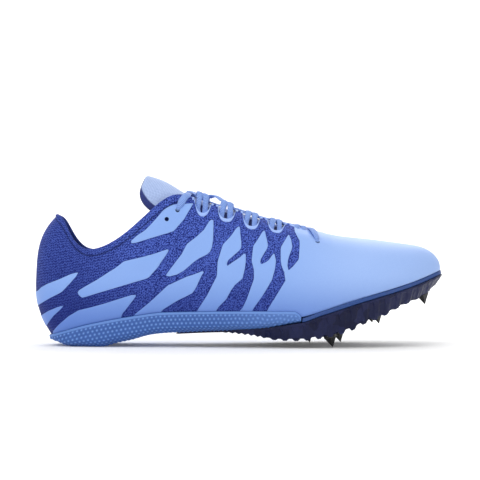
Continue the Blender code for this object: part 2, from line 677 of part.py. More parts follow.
def throat_arc(row, share, lift):
    """A point over the throat: share 0 is the outer edge of the opening, 1 the inner one.
    Between them the arch leaves each edge along the wall there; beyond them it runs down
    the wall itself, in lengths of the opening. lift moves it off that surface."""
    row, share = np.broadcast_arrays(np.asarray(row, float), np.asarray(share, float))
    outer, inner = row, 2 * TOE_ROW - row
    one = np.ones_like(row)
    start, stop = upper_form(outer, one), upper_form(inner, one)
    run = np.linalg.norm(stop - start, axis=-1)
    slope_in = start - upper_form(outer, one * 0.98)
    slope_out = upper_form(inner, one * 0.98) - stop
    lower = np.clip((row - THROAT_TOP_ROW) / (THROAT_END_ROW - THROAT_TOP_ROW), 0, 1)
    steep = (run * (ARCH_HIGH + (ARCH_LOW - ARCH_HIGH) * lower))[..., None]
    slope_in = slope_in / np.linalg.norm(slope_in, axis=-1, keepdims=True) * steep
    slope_out = slope_out / np.linalg.norm(slope_out, axis=-1, keepdims=True) * steep
    part = np.clip(share, 0, 1)[..., None]
    arch = ((1 + 2 * part) * (1 - part) ** 2 * start + part * (1 - part) ** 2 * slope_in
            + part ** 2 * (3 - 2 * part) * stop - part ** 2 * (1 - part) * slope_out)
    tilt = (6 * part ** 2 - 6 * part) * (start - stop) + (1 - part) * (1 - 3 * part) * slope_in \
        + part * (3 * part - 2) * slope_out
    speed_out = np.linalg.norm(start - upper_form(outer, one * 0.98), axis=-1) / 0.02
    speed_in = np.linalg.norm(stop - upper_form(inner, one * 0.98), axis=-1) / 0.02
    before = np.maximum(-share, 0) * run / speed_out
    after = np.maximum(share - 1, 0) * run / speed_in
    left = upper_form(outer, 1 - before)
    right = upper_form(inner, 1 - after)
    near = 0.02
    ahead = upper_form(outer + near, one) - upper_form(outer - near, one)
    ahead = ahead + upper_form(inner - near, one) - upper_form(inner + near, one)
    over = np.cross(ahead, tilt)
    over = over / np.linalg.norm(over, axis=-1, keepdims=True)
    point = np.where((share < 0)[..., None], left, np.where((share > 1)[..., None], right, arch))
    normal = np.where((share < 0)[..., None], form_normal(outer, 1 - before),
                      np.where((share > 1)[..., None], form_normal(inner, 1 - after), over))
    return point + normal * np.asarray(lift)[..., None]


def make_tongue():
    """Padded tongue under the laces: it follows the wall inside the throat and then
    stands up past the top of the lacing."""
    rows = np.linspace(THROAT_TOP_ROW + 0.15, THROAT_END_ROW - 0.5, 12)
    gap = 2 * both_sides("gap", rows) * BALL_WIDTH
    high = np.clip((THROAT_TOP_ROW + 3 - rows) / 3, 0, 1)
    wing = (TONGUE_OVERLAP + (TONGUE_WING - TONGUE_OVERLAP) * high) / gap
    inner_shares = np.linspace(0, 1, 7)
    share = np.concatenate((-wing[:, None], -wing[:, None] / 2, np.broadcast_to(inner_shares, (len(rows), 7)),
                            1 + wing[:, None] / 2, 1 + wing[:, None]), 1)
    places = np.broadcast_to(rows[:, None], share.shape)
    tuck = WING_TUCK * np.clip(np.abs(2 * share - 1) - 1, 0, None) * gap[:, None] / (2 * wing * gap)[:, None]
    depth = UPPER_WALL + CLEARANCE * 3 + tuck
    over = throat_arc(places, share, -depth)
    under = throat_arc(places, share, -depth - TONGUE_THICKNESS)
    rise = np.linspace(1, 0, 6)[:-1]
    across = np.linspace(-1, 1, share.shape[1])
    longer = 1 + TONGUE_FLANK * across ** 2 - (TONGUE_FLANK + TONGUE_TURN) * across ** 4
    higher = np.cos(across * np.pi / 2) ** 2
    reach = np.stack((-TONGUE_REACH * longer, 0 * across, TONGUE_LIFT * higher), 1)
    spread = 1 - TONGUE_DRAW * rise

    def stand(face):
        first = face[0]
        centre = first.mean(0)
        up = [first + reach * part + (first - centre) * (s - 1) * np.array((0, 1, 0))
              for part, s in zip(rise, spread)]
        return np.concatenate((np.array(up), face))

    over, under = stand(over), stand(under)
    loop = np.concatenate((over, under[:, ::-1]), 1)
    count, corners = loop.shape[:2]
    faces = grid_faces(count, corners)
    here = np.arange(count - 1)
    faces += np.stack((here * corners + corners - 1, (here + 1) * corners + corners - 1,
                       (here + 1) * corners, here * corners), 1).tolist()
    for base in (0, (count - 1) * corners):
        faces += [[base + i, base + i + 1, base + corners - 2 - i, base + corners - 1 - i]
                  for i in range(corners // 2 - 1)]
    return add_solid("tongue", centred(loop), faces, "tongue cloth")


def lace_strip(row_from, row_to, over):
    """Corners and faces of one flat lace run across the throat. The run that goes over
    starts at the inner side and climbs by most of a lace's thickness in the middle."""
    part = np.linspace(0, 1, 9)
    share = 1 - part if over else part
    lift = LACE_LIFT + over * 0.7 * LACE_THICKNESS * np.sin(np.pi * part)
    share = 1.16 * share - 0.08
    rows = row_from + (row_to - row_from) * part
    line = throat_arc(rows, share, lift)
    raised = throat_arc(rows, share, lift + LACE_THICKNESS)
    run = np.gradient(line, axis=0)
    wide = np.cross(raised - line, run)
    wide = wide / np.linalg.norm(wide, axis=1, keepdims=True) * LACE_WIDTH / 2
    loop = np.stack((line - wide, line + wide, raised + wide, raised - wide), 1)
    faces = grid_faces(9, 4) + [[4 * i + 3, 4 * i + 7, 4 * i + 4, 4 * i] for i in range(8)]
    faces += [[0, 1, 2, 3], [35, 34, 33, 32]]
    return centred(loop).reshape(-1, 3), faces


def make_lace_crossings():
    """A crossed pair of lace runs between each two lacing stations, joined as one."""
    rows = np.linspace(0, TOE_ROW, 40 * TOE_ROW + 1)
    notches = np.interp(notch_places(), both_sides("top", rows), rows)
    stations = np.concatenate(((THROAT_TOP_ROW + 0.1,), notches, (THROAT_END_ROW - 0.35,)))
    margin = (LACE_WIDTH * 0.56 + CLEARANCE) / ((LAST_NOTCH - FIRST_NOTCH) * LENGTH / (NOTCH_COUNT - 1))
    made = []
    for number, (high, low) in enumerate(zip(stations[:-1], stations[1:]), 1):
        first, last = high + (low - high) * margin, low - (low - high) * margin
        crossing = add_solid(f"lace_crossing_{number}", *lace_strip(first, last, False), "lace")
        other = add_solid(f"lace run {number}", *lace_strip(first, last, True), "lace")
        other.hide_render = True
        other.display_type = "WIRE"
        join = crossing.modifiers.new("crossed run", "BOOLEAN")
        join.operation = "UNION"
        join.object = other
        made.append(crossing)
    return made


def make_shoe():
    """Clears the scene and builds every piece."""
    for old in list(bpy.data.objects):
        bpy.data.objects.remove(old)
    make_upper()
    make_wedge()
    make_band()
    make_plate()
    make_pins()
    make_insole()
    make_tongue()
    make_lace_crossings()


make_shoe()
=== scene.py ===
# %% [markdown]
# # A track spike shoe
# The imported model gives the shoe's true shape and place. This notebook dresses it: each
# soft piece is worked out again as a fine surface from the same sizes, the hard ones keep
# theirs, and all get the cloth, film, foam, nylon or steel of the real one. Lengths are
# metres, +X is the toe, -Y the outer side of this right shoe and +Z up from the floor.

# %% Load the fixed frame
import bmesh
import bpy
import numpy as np
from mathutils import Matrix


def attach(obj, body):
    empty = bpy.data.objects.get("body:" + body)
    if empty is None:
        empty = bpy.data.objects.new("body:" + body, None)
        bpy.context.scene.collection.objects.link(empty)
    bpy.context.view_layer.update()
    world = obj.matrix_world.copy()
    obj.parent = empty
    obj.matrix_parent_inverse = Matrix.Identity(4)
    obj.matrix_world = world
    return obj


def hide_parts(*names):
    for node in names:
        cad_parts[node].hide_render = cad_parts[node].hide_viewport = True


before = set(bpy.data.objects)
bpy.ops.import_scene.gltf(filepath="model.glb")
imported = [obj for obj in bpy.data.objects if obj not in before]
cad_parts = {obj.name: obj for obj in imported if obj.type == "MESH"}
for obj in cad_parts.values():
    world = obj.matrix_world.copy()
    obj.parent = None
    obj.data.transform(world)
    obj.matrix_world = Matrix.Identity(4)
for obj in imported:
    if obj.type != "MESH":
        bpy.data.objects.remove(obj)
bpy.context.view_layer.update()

# %% [markdown]
# The photograph looks level at the shoe's outer side from a little over a metre away. A
# long lens at that distance gives the same mild perspective, and the camera stands
# straight across from the middle of the shoe, halfway up it.

# %% Place the camera
CAMERA_DISTANCE = 1.30
CAMERA_HEIGHT = 0.0732
CAMERA_LENS = 139.5


def add_object(name, data):
    """Links new data to the scene as an object at the origin."""
    made = bpy.data.objects.new(name, data)
    bpy.context.collection.objects.link(made)
    return made


camera = add_object("camera", bpy.data.cameras.new("camera"))
camera.data.lens = CAMERA_LENS
camera.location = (0, -CAMERA_DISTANCE, CAMERA_HEIGHT)
camera.rotation_euler = (np.pi / 2, 0, 0)
bpy.context.scene.camera = camera
print("Frame width at the shoe, m:", round(camera.data.sensor_width / CAMERA_LENS * CAMERA_DISTANCE, 3))

# %% [markdown]
# A product photograph on white needs light from all round. Large soft panels stand above,
# in front and behind, and the floor sweeps up into the backdrop in one curve, so no
# horizon shows.

# %% Light, floor and backdrop
FLOOR_HALF = 2.6
SWEEP_START = 1.6
SWEEP_RADIUS = 0.8
BACKDROP_TOP = 3.4


def add_panel(name, place, aim, size, power):
    """A square soft light at a place, turned towards a point."""
    light = bpy.data.lights.new(name, "AREA")
    light.size = size
    light.energy = power
    made = add_object(name, light)
    made.location = place
    toward = np.subtract(aim, place)
    flat = np.hypot(toward[0], toward[1])
    made.rotation_euler = (np.arctan2(flat, -toward[2]), 0, np.arctan2(toward[1], toward[0]) - np.pi / 2)
    return made


add_panel("top light", (-0.15, -0.25, 1.15), (0, 0, 0.04), 1.1, 5.0)
add_panel("front light", (-0.75, -1.15, 0.85), (0, 0, 0.05), 0.8, 4.6)
add_panel("side light", (1.15, -0.55, 0.55), (0, 0, 0.05), 0.7, 2.0)
add_panel("back light", (0.1, 1.0, 0.9), (0, 0, 0.08), 0.9, 4.0)
add_panel("backdrop light", (0, 1.0, 1.5), (0, 2.4, 0.5), 1.4, 26.0)
world = bpy.data.worlds.new("studio")
bpy.context.scene.world = world
world.use_nodes = True
world.node_tree.nodes["Background"].inputs["Color"].default_value = (1, 1, 1, 1)
world.node_tree.nodes["Background"].inputs["Strength"].default_value = 0.55
bpy.context.scene.view_settings.view_transform = "Standard"


def sweep_points():
    """Floor profile in y and z: flat, then a quarter circle up, then an upright wall."""
    turn = np.linspace(0, np.pi / 2, 24)
    curve = np.stack((SWEEP_START + SWEEP_RADIUS * np.sin(turn), SWEEP_RADIUS * (1 - np.cos(turn))), 1)
    return np.vstack(((-FLOOR_HALF, 0.0), curve, (SWEEP_START + SWEEP_RADIUS, BACKDROP_TOP)))


profile = sweep_points()
ends = [np.column_stack((np.full(len(profile), x), profile)) for x in (-FLOOR_HALF, FLOOR_HALF)]
floor_points = np.stack(ends)
strip = np.arange(len(profile) - 1)
floor_faces = np.stack((strip, strip + len(profile), strip + len(profile) + 1, strip + 1), 1)
floor_mesh = bpy.data.meshes.new("backdrop")
floor_mesh.from_pydata(floor_points.reshape(-1, 3).tolist(), [], floor_faces.tolist())
backdrop = add_object("backdrop", floor_mesh)
paper = bpy.data.materials.new("white paper")
paper.use_nodes = True
paper_shader = paper.node_tree.nodes["Principled BSDF"]
paper_shader.inputs["Base Color"].default_value = (0.97, 0.97, 0.97, 1)
paper_shader.inputs["Emission Color"].default_value = (1, 1, 1, 1)
paper_shader.inputs["Emission Strength"].default_value = 0.07
paper_shader.inputs["Roughness"].default_value = 0.9
floor_mesh.materials.append(paper)
print("Backdrop faces:", len(floor_faces))

# %% [markdown]
# A shoe is drawn over a last, the wooden foot that it is made on. Here the last is a short
# table: each row is one cross-section from heel to toe, with its widths, heights and the
# way its wall rolls over. These are the driving sizes that the solids have, so the fine
# surfaces lie on them; only the lacing notches are cut deeper, as the photograph has them.
# Three tables of places and heights give the seat, the wedge's rim and its underside.

# %% Sizes of the shoe and the sections of its last
LENGTH = 0.285
BALL_WIDTH = 0.094
INSTEP = 0.1046
HEEL_HEIGHT = 0.0913
TOE_RISE = 0.0526
CLEARANCE = 0.0003
UPPER_WALL = 0.0018
CUFF_STEP = 0.0010
CUFF_WIDTH_TAB = 0.0012
CUFF_WIDTH_BACK = 0.0045
CUFF_WIDTH_FRONT = 0.0070
BINDING_STEP = 0.0006
BINDING_WIDTH = 0.0030
NOTCH_COUNT = 5
NOTCH_WIDTH = 0.0120
NOTCH_DEPTHS = (0.0122, 0.0138, 0.0172, 0.0172, 0.0156)
THROAT_TOP_ROW = 8.0
THROAT_END_ROW = 13.0
CUFF_TAB_ROW = 1.5
UPRIGHT_FROM = 0.30
FIRST_NOTCH = 0.410
LAST_NOTCH = 0.647

COLUMNS = ("foot", "outer", "inner", "spine", "top", "ridge", "heel", "instep", "gap", "bulge", "crown")
SECTIONS = np.array((
    (0.040, 0.000, 0.000, 0.115, 0.055, 0.000, 1.000, 0.000, 0.000, 0.143, 0.00),
    (0.048, 0.115, 0.115, 0.118, 0.060, 0.000, 0.990, 0.000, 0.060, 0.130, 0.00),
    (0.070, 0.200, 0.195, 0.128, 0.073, 0.000, 0.950, 0.000, 0.108, 0.103, 0.00),
    (0.107, 0.255, 0.250, 0.148, 0.094, 0.000, 0.825, 0.000, 0.165, 0.080, 0.00),
    (0.155, 0.285, 0.275, 0.180, 0.131, 0.000, 0.735, 0.000, 0.215, 0.060, 0.05),
    (0.210, 0.300, 0.275, 0.222, 0.190, -0.005, 0.000, 0.685, 0.250, 0.045, 0.10),
    (0.275, 0.315, 0.262, 0.278, 0.251, -0.008, 0.000, 0.810, 0.262, 0.038, 0.20),
    (0.340, 0.335, 0.250, 0.340, 0.308, -0.010, 0.000, 0.950, 0.240, 0.032, 0.35),
    (0.405, 0.365, 0.257, 0.405, 0.357, -0.008, 0.000, 1.000, 0.195, 0.030, 0.50),
    (0.470, 0.405, 0.292, 0.470, 0.420, -0.004, 0.000, 0.950, 0.162, 0.030, 0.65),
    (0.535, 0.445, 0.345, 0.535, 0.495, 0.002, 0.000, 0.893, 0.138, 0.028, 0.76),
    (0.600, 0.475, 0.402, 0.600, 0.570, 0.010, 0.000, 0.832, 0.118, 0.024, 0.86),
    (0.660, 0.490, 0.448, 0.660, 0.640, 0.020, 0.000, 0.790, 0.098, 0.020, 0.93),
    (0.720, 0.493, 0.478, 0.720, 0.698, 0.032, 0.000, 0.752, 0.090, 0.018, 1.00),
    (0.780, 0.473, 0.490, 0.775, 0.755, 0.048, 0.000, 0.722, 0.090, 0.016, 1.00),
    (0.835, 0.423, 0.480, 0.820, 0.805, 0.064, 0.000, 0.707, 0.090, 0.014, 1.00),
    (0.885, 0.340, 0.447, 0.853, 0.845, 0.078, 0.000, 0.693, 0.090, 0.012, 1.00),
    (0.926, 0.240, 0.397, 0.876, 0.876, 0.090, 0.000, 0.682, 0.090, 0.010, 1.00),
    (0.958, 0.128, 0.325, 0.892, 0.898, 0.100, 0.000, 0.673, 0.090, 0.008, 1.00),
    (0.985, 0.005, 0.222, 0.901, 0.909, 0.107, 0.000, 0.668, 0.090, 0.006, 1.00),
    (0.993, -0.110, 0.110, 0.904, 0.912, 0.110, 0.000, 0.666, 0.090, 0.006, 1.00),
))
TOE_ROW = len(SECTIONS) - 1

SEAT = ((0.035, 0.122), (0.090, 0.165), (0.140, 0.225), (0.240, 0.315), (0.320, 0.365),
        (0.450, 0.388), (0.640, 0.392), (0.690, 0.475), (0.780, 0.633), (0.915, 0.846), (1.000, 1.012))
RIM = ((0.035, 0.130), (0.140, 0.297), (0.240, 0.400), (0.320, 0.455), (0.550, 0.475), (0.660, 0.475))
WEDGE_UNDER = ((0.030, 0.090), (0.059, 0.058), (0.082, 0.013), (0.100, 0.000), (0.165, 0.000),
               (0.200, 0.050), (0.240, 0.095), (0.294, 0.167), (0.350, 0.194), (0.544, 0.253),
               (0.645, 0.336), (0.670, 0.370))
print("Sections of the last:", len(SECTIONS))

# %% [markdown]
# Two kinds of curve read the tables. Heights must never dip past their rows, so they use a
# curve that keeps each run monotone. The outline closes on itself round heel and toe,
# and its highlights show every kink, so it uses a closed cubic spline.

# %% Curves through the tables
def monotone(table, at):
    """Cubic pieces whose slope at each row is the harmonic mean of the runs beside it, or
    zero where they change sign, so the curve never overshoots a row."""
    place, value = np.asarray(table, float).T
    step = np.diff(place)
    rise = np.diff(value) / step
    slope = np.zeros(len(place))
    same = rise[1:] * rise[:-1] > 0
    slope[1:-1][same] = 2 * rise[1:][same] * rise[:-1][same] / (rise[1:] + rise[:-1])[same]
    slope[0], slope[-1] = rise[0], rise[-1]
    at = np.clip(at, place[0], place[-1])
    low = np.clip(np.searchsorted(place, at, side="right") - 1, 0, len(step) - 1)
    part = (at - place[low]) / step[low]
    start = (1 + 2 * part) * (1 - part) ** 2 * value[low] + part * (1 - part) ** 2 * step[low] * slope[low]
    end = part ** 2 * (3 - 2 * part) * value[low + 1] - part ** 2 * (1 - part) * step[low] * slope[low + 1]
    return start + end


def closed_spline(values, at):
    """Cubic spline through values at whole numbers, with its bends solved so that slope and
    bend run on smoothly from the last value to the first."""
    values = np.asarray(values, float)
    count = len(values)
    one = np.eye(count)
    system = 4 * one + np.roll(one, 1, 0) + np.roll(one, -1, 0)
    bend = np.linalg.solve(system, 6 * (np.roll(values, -1) - 2 * values + np.roll(values, 1)))
    at = np.mod(at, count)
    low = np.floor(at).astype(int) % count
    high = (low + 1) % count
    part = at - np.floor(at)
    back = 1 - part
    return (back * values[low] + part * values[high]
            + ((back ** 3 - back) * bend[low] + (part ** 3 - part) * bend[high]) / 6)


def unit(vectors):
    """Each vector divided by its own length."""
    return vectors / np.maximum(np.linalg.norm(vectors, axis=-1, keepdims=True), 1e-12)


def travelled(points, axis=0):
    """Length along one direction of a grid of points, from 0 at its first ones."""
    step = np.diff(points, axis=axis, prepend=np.take(points, [0], axis))
    return np.cumsum(np.linalg.norm(step, axis=-1), axis)


def column(name):
    """One named column of the section table."""
    return SECTIONS[:, COLUMNS.index(name)]


def both_sides(name, turn):
    """A column read round the ring of sections: out along the outer side of the foot and
    back along the inner one, the same on both."""
    return closed_spline(np.concatenate((column(name), column(name)[-2:0:-1])), turn)


def row_of(turn):
    """The section row at a place on the ring."""
    turn = np.mod(turn, 2 * TOE_ROW)
    return np.where(turn <= TOE_ROW, turn, 2 * TOE_ROW - turn)


def outline(turn):
    """Plan of the lower edge: the foot column along, the side's own width across."""
    across = closed_spline(np.concatenate((-column("outer"), column("inner")[-2:0:-1])), turn)
    return np.stack((both_sides("foot", turn) * LENGTH, across * BALL_WIDTH), -1)


def outward(turn):
    """Unit vector in plan that points out of the outline: its tangent turned by a right angle."""
    near = 0.01
    along = outline(turn + near) - outline(turn - near)
    return unit(np.stack((along[..., 1], -along[..., 0]), -1))


def seat(along):
    """Height of the face that the foot's sock stands on, from its place along the shoe."""
    return monotone(SEAT, along / LENGTH) * TOE_RISE


print("Ball, widest, mm:", round(1000 * float(np.ptp(outline(np.linspace(0, 2 * TOE_ROW, 400))[:, 1])), 1))

# %% [markdown]
# The upper's outer face is a function of two numbers: the place round the ring and the
# share of the way from the sole to the top edge. At the ankle the wall is nearly
# straight, over the toes it is a quarter ellipse, and a swell pushes it out between.

# %% The form of the upper
EDGE_STEP = 0.02


def top_edge(turn):
    """End of each section above: at the collar, the throat, or the ridge over the toes,
    where the gap closes in a half circle."""
    row = row_of(turn)
    height = column("heel") * HEEL_HEIGHT + column("instep") * INSTEP
    up = closed_spline(np.concatenate((height, height[-2:0:-1])), turn)
    rounding = np.sqrt(1 - np.clip(row - THROAT_END_ROW + 1, 0, 1) ** 2)
    gap = np.where(row < 1e-6, 0, np.maximum(both_sides("gap", turn), 0) * rounding * BALL_WIDTH)
    side = np.where(np.mod(turn, 2 * TOE_ROW) <= TOE_ROW, -1, 1)
    across = both_sides("ridge", turn) * BALL_WIDTH + side * gap
    return np.stack((both_sides("top", turn) * LENGTH, across, up), -1)


def upper_form(turn, share):
    """Lower edge and top edge joined by a mix of a line and a quarter ellipse, moved out
    in plan by the swell."""
    turn, share = np.broadcast_arrays(np.asarray(turn, float), np.asarray(share, float))
    foot, top = outline(turn), top_edge(turn)
    crown = np.clip(both_sides("crown", turn), 0, 1)
    angle = share * np.pi / 2
    inward = (1 - crown) * (1 - share) + crown * np.cos(angle)
    upward = (1 - crown) * share + crown * np.sin(angle)
    swell = both_sides("bulge", turn) * BALL_WIDTH * (1 - np.abs(2 * share ** 1.1 - 1) ** 3)
    plan = top[..., :2] + (foot - top[..., :2]) * inward[..., None] + outward(turn) * swell[..., None]
    base = seat(foot[..., 0])
    return np.concatenate((plan, (base + (top[..., 2] - base) * upward)[..., None]), -1)


def form_normal(turn, share):
    """Unit vector out of that face: the cross product of its two directions."""
    near = 0.02
    low, high = np.maximum(share - near, 0), np.minimum(share + near, 1)
    along = upper_form(turn + near, share) - upper_form(turn - near, share)
    return unit(np.cross(along, upper_form(turn, high) - upper_form(turn, low)))


def edge_slope(turn):
    """Change of place for one whole share, next to the top edge, as a vector."""
    return (upper_form(turn, 1.0) - upper_form(turn, 1 - EDGE_STEP)) / EDGE_STEP


def edge_speed(turn):
    """Length of wall for one whole share, next to the top edge."""
    return np.linalg.norm(edge_slope(turn), axis=-1)


def notch_offset(turn):
    """Distance along the top edge to the nearest lacing notch's middle, and its number."""
    places = np.linspace(FIRST_NOTCH, LAST_NOTCH, NOTCH_COUNT) * LENGTH
    away = np.abs((both_sides("top", turn) * LENGTH)[..., None] - places)
    return away.min(-1), away.argmin(-1)


def notch_depth(turn):
    """How deep the top edge is cut: each notch is a U, the root of one minus a cube."""
    away, number = notch_offset(turn)
    depth = np.array(NOTCH_DEPTHS)[number] * np.sqrt(1 - np.clip(away / (NOTCH_WIDTH / 2), 0, 1) ** 3)
    return np.where((row_of(turn) > THROAT_TOP_ROW) & (row_of(turn) < THROAT_END_ROW), depth, 0)


def upright(turn, share):
    """Places on the ring that keep a column of the wall at one place along the shoe next to
    the throat, so that the notches hang straight down: the lean of the section there,
    divided by how fast the top edge moves along for one row."""
    turn, share = np.broadcast_arrays(np.asarray(turn, float), np.asarray(share, float))
    row = row_of(turn)
    ahead = (both_sides("foot", turn) - both_sides("top", turn)) * np.cos(share * np.pi / 2)
    pace = np.maximum(both_sides("top", row + 0.1) - both_sides("top", row - 0.1), 0.002) / 0.2
    inside = np.clip(row - THROAT_TOP_ROW, 0, 1) * np.clip(THROAT_END_ROW - row, 0, 1)
    fade = np.clip((share - UPRIGHT_FROM) / (1 - UPRIGHT_FROM) * 2, 0, 1)
    shift = ahead / pace * inside * fade ** 2 * (3 - 2 * fade)
    return np.where(np.mod(turn, 2 * TOE_ROW) <= TOE_ROW, turn - shift, turn + shift)


print("Collar at the heel, mm:", np.round(upper_form(0, 1.0) * 1000, 1))

# %% [markdown]
# Every surface here is a grid: one number runs round or along the piece, the other across
# it. Corners are worked out as whole arrays, and fields such as the distance to a seam are
# stored on the corners, so that a material can read them as the surface curves.

# %% Grids, fields and finished pieces
def grid_quads(rows, columns, wrap=False):
    """Corner numbers of a grid's quads, with the last row joined to the first for a ring."""
    here = np.arange(rows if wrap else rows - 1)[:, None]
    side = np.arange(columns - 1)
    first, after = here * columns + side, (here + 1) % rows * columns + side
    return np.stack((first, after, after + 1, first + 1), -1).reshape(-1, 4)


def centred(points):
    """Moves points measured from the back of the heel to the frame's middle."""
    return points - np.array((LENGTH / 2, 0, 0))


def weld(mesh, distance):
    """Joins corners that lie on each other and turns the faces outwards."""
    body = bmesh.new()
    body.from_mesh(mesh)
    bmesh.ops.remove_doubles(body, verts=body.verts, dist=distance)
    bmesh.ops.dissolve_degenerate(body, edges=body.edges, dist=distance / 2)
    bmesh.ops.recalc_face_normals(body, faces=body.faces)
    body.to_mesh(mesh)
    body.free()


def add_piece(name, points, faces, material, slot, stands_for, joined=2e-6, **fields):
    """A smooth mesh object from its corners and faces, with each field on its corners and
    corners nearer than joined made one. It rides on the shoe's one body and stands for
    the solids that are named."""
    mesh = bpy.data.meshes.new(name)
    mesh.from_pydata(np.asarray(points).reshape(-1, 3).tolist(), [], [list(face) for face in faces])
    for field, values in fields.items():
        store = mesh.attributes.new(field, "FLOAT", "POINT")
        store.data.foreach_set("value", np.ascontiguousarray(values, dtype=np.float32).ravel())
    mesh.shade_smooth()
    mesh.materials.append(material)
    made = add_object(name, mesh)
    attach(made, "root")
    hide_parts(*stands_for)
    if joined:
        weld(mesh, joined)
    print(name, "faces:", len(mesh.polygons))
    return made


def smooth_step(low, high, value):
    """Rises from 0 to 1 between two values, level at both ends: 3t^2 - 2t^3."""
    part = np.clip((value - low) / (high - low), 0, 1)
    return part * part * (3 - 2 * part)

# %% [markdown]
# The camera sees the outer side almost flat, so the printed film panels are laid out as
# they look from there, in millimetres behind or ahead of mid-length and above the floor.
# Perspective brings the near side a little larger, which the same sum takes out.

# %% Film panels laid out on the side
def seen_from_side(points):
    """Places as the camera sees them on the middle plane: both numbers grow by the ratio
    of the camera's distance to that distance less the point's own. The inner side is
    given the outer side's pattern, mirrored."""
    near = CAMERA_DISTANCE / (CAMERA_DISTANCE - np.abs(points[..., 1]))
    return np.stack((points[..., 0] * near,
                     CAMERA_HEIGHT + (points[..., 2] - CAMERA_HEIGHT) * near), -1) * 1000


PANELS = {
    "heel high": ((-147, 36), (-141.2, 37.7), (-139, 40), (-134.9, 42.4), (-125.5, 46.1), (-118, 49.4),
                  (-112.8, 50.8), (-114.7, 47.5), (-118.9, 42.8), (-124.1, 37.2), (-126, 36),
                  (-133, 32.5), (-137.7, 29.7), (-140.7, 27.8), (-147, 24)),
    "heel low": ((-147, 17), (-140.1, 19.8), (-134, 23.6), (-128.3, 26), (-122.7, 27.8), (-126, 24.1),
                 (-130.2, 20.3), (-133, 16.6), (-135.8, 12.3), (-141.5, 11.2), (-147, 10)),
    "quarter low": ((-130.7, 9.5), (-126.9, 13.8), (-119.9, 19.9), (-112.8, 24.1), (-104.8, 26),
                    (-94.6, 28.8), (-81.5, 33), (-75.8, 34.7), (-72.4, 34.9), (-73, 33.5), (-75.8, 29.7),
                    (-82.4, 21.3), (-86, 8), (-131, 2)),
    "quarter long": ((-113.5, 36.8), (-112.3, 38.2), (-107.7, 41), (-100.2, 45.2), (-94.6, 48.9),
                     (-87.1, 53.6), (-81, 58.3), (-75.8, 59.5), (-67.4, 61.5), (-58.9, 63.9),
                     (-53.3, 65.9), (-49.6, 67), (-50.1, 65.1), (-52.4, 61.5), (-55.3, 57.5),
                     (-57.1, 54.5), (-60, 51.2), (-63.7, 47), (-65.6, 46.1), (-72.1, 44.2),
                     (-81.5, 41.4), (-90.8, 38.6), (-100.2, 35.8), (-107.7, 33.5), (-110.5, 32.8),
                     (-112.8, 34.9)),
    "eyelet": ((-76.8, 71.9), (-72.1, 76.1), (-66.4, 79.9), (-62.2, 84.1), (-58, 88.8), (-53.3, 94.4),
               (-49.6, 97.2), (-44.4, 98.3), (-32.5, 98.8), (-39.3, 87.4),
               (-46.3, 79.4), (-50.5, 78), (-57.1, 76.1), (-64.5, 73.8), (-72.1, 71.4), (-75.3, 70.8)),
    "shard 1": ((-20, 87.4), (-18.6, 87.1), (-18.5, 83.2), (-18.8, 73.8), (-19.6, 68.1), (-21, 64.8),
                (-23.3, 63), (-29, 60.1), (-32.3, 57.8), (-39.3, 51.7), (-44.4, 48.9), (-49.6, 47.7),
                (-51.9, 48.4), (-49.6, 51.7), (-45.4, 57.3), (-40.7, 63.4), (-38.3, 68.1),
                (-36.9, 70.5), (-30.8, 75.2), (-25.2, 80.3), (-21.4, 86.4)),
    "quarter mid": ((-78.4, 16), (-73, 21.7), (-63.1, 29.7), (-50.5, 41.4), (-37.4, 47.5), (-32.3, 49.1),
                    (-24.3, 52.2), (-26.6, 48.7), (-28.5, 44.7), (-30.8, 39.6), (-33.2, 36.1),
                    (-36.4, 34.4), (-43.9, 30.7), (-53.3, 24.9), (-57, 21), (-60, 17)),
    "shard 2": ((-1.1, 82.6), (-0.1, 82.2), (0.3, 77), (1, 71.4), (0.8, 67.6), (-0.6, 65.7), (-4.8, 62),
                (-8.6, 58.7), (-9.5, 54.6), (-5.2, 57.6), (-0.1, 61), (2.7, 63.6), (4.1, 63.4),
                (4.1, 58.7), (3.4, 53), (1.7, 46.1), (-3.4, 41.9), (-6.4, 37.7), (-9.5, 31.9),
                (-15.3, 25.9), (-20, 17), (-34, 17), (-28.5, 26), (-23.1, 34.3), (-16.1, 48),
                (-15.6, 58.2), (-13.3, 65.7), (-11.9, 70), (-6.2, 76.1), (-3, 80.8)),
    "shard 3": ((16.8, 79.8), (17.5, 78.9), (18.6, 74.2), (19.6, 69.5), (18.9, 67.1), (17.2, 64.3),
                (14.4, 59.6), (14.2, 55.8), (18, 57.6), (20.2, 59.2), (22.4, 62.4), (23.8, 63.9),
                (24.4, 62.4), (25.2, 58.7), (24.4, 52.6), (22.3, 45.1), (16.8, 35.7), (13.9, 31.5),
                (9.8, 25.8), (5, 17), (-6, 17), (1.9, 25.9), (4.6, 31.5), (9.7, 45.8), (9.8, 52),
                (8.1, 58.7), (8.8, 64.8), (9.3, 69), (12.5, 73.7), (15.4, 78.4)),
    "shard 4": ((33.9, 77), (34.5, 76.2), (35.8, 73.2), (36.6, 68.5), (35.9, 65.7), (34.5, 62.4),
                (33.6, 59.4), (33.2, 55.3), (33.9, 51.8), (30.8, 50.8), (29, 55.3), (28.4, 59.4),
                (28.4, 67.6), (29.3, 69.5), (32.2, 74.2)),
    "vamp": ((37.8, 140), (37.8, 82.6), (38.3, 78.9), (40.2, 75.1), (41.6, 72.8), (41.7, 69.5),
             (41.1, 59.6), (37, 54.6), (33.9, 51.8), (30.8, 50.8), (31.8, 44.8), (25.8, 35),
             (20.1, 25.8), (15.3, 17), (15, -5), (160, -5), (160, 140)),
}


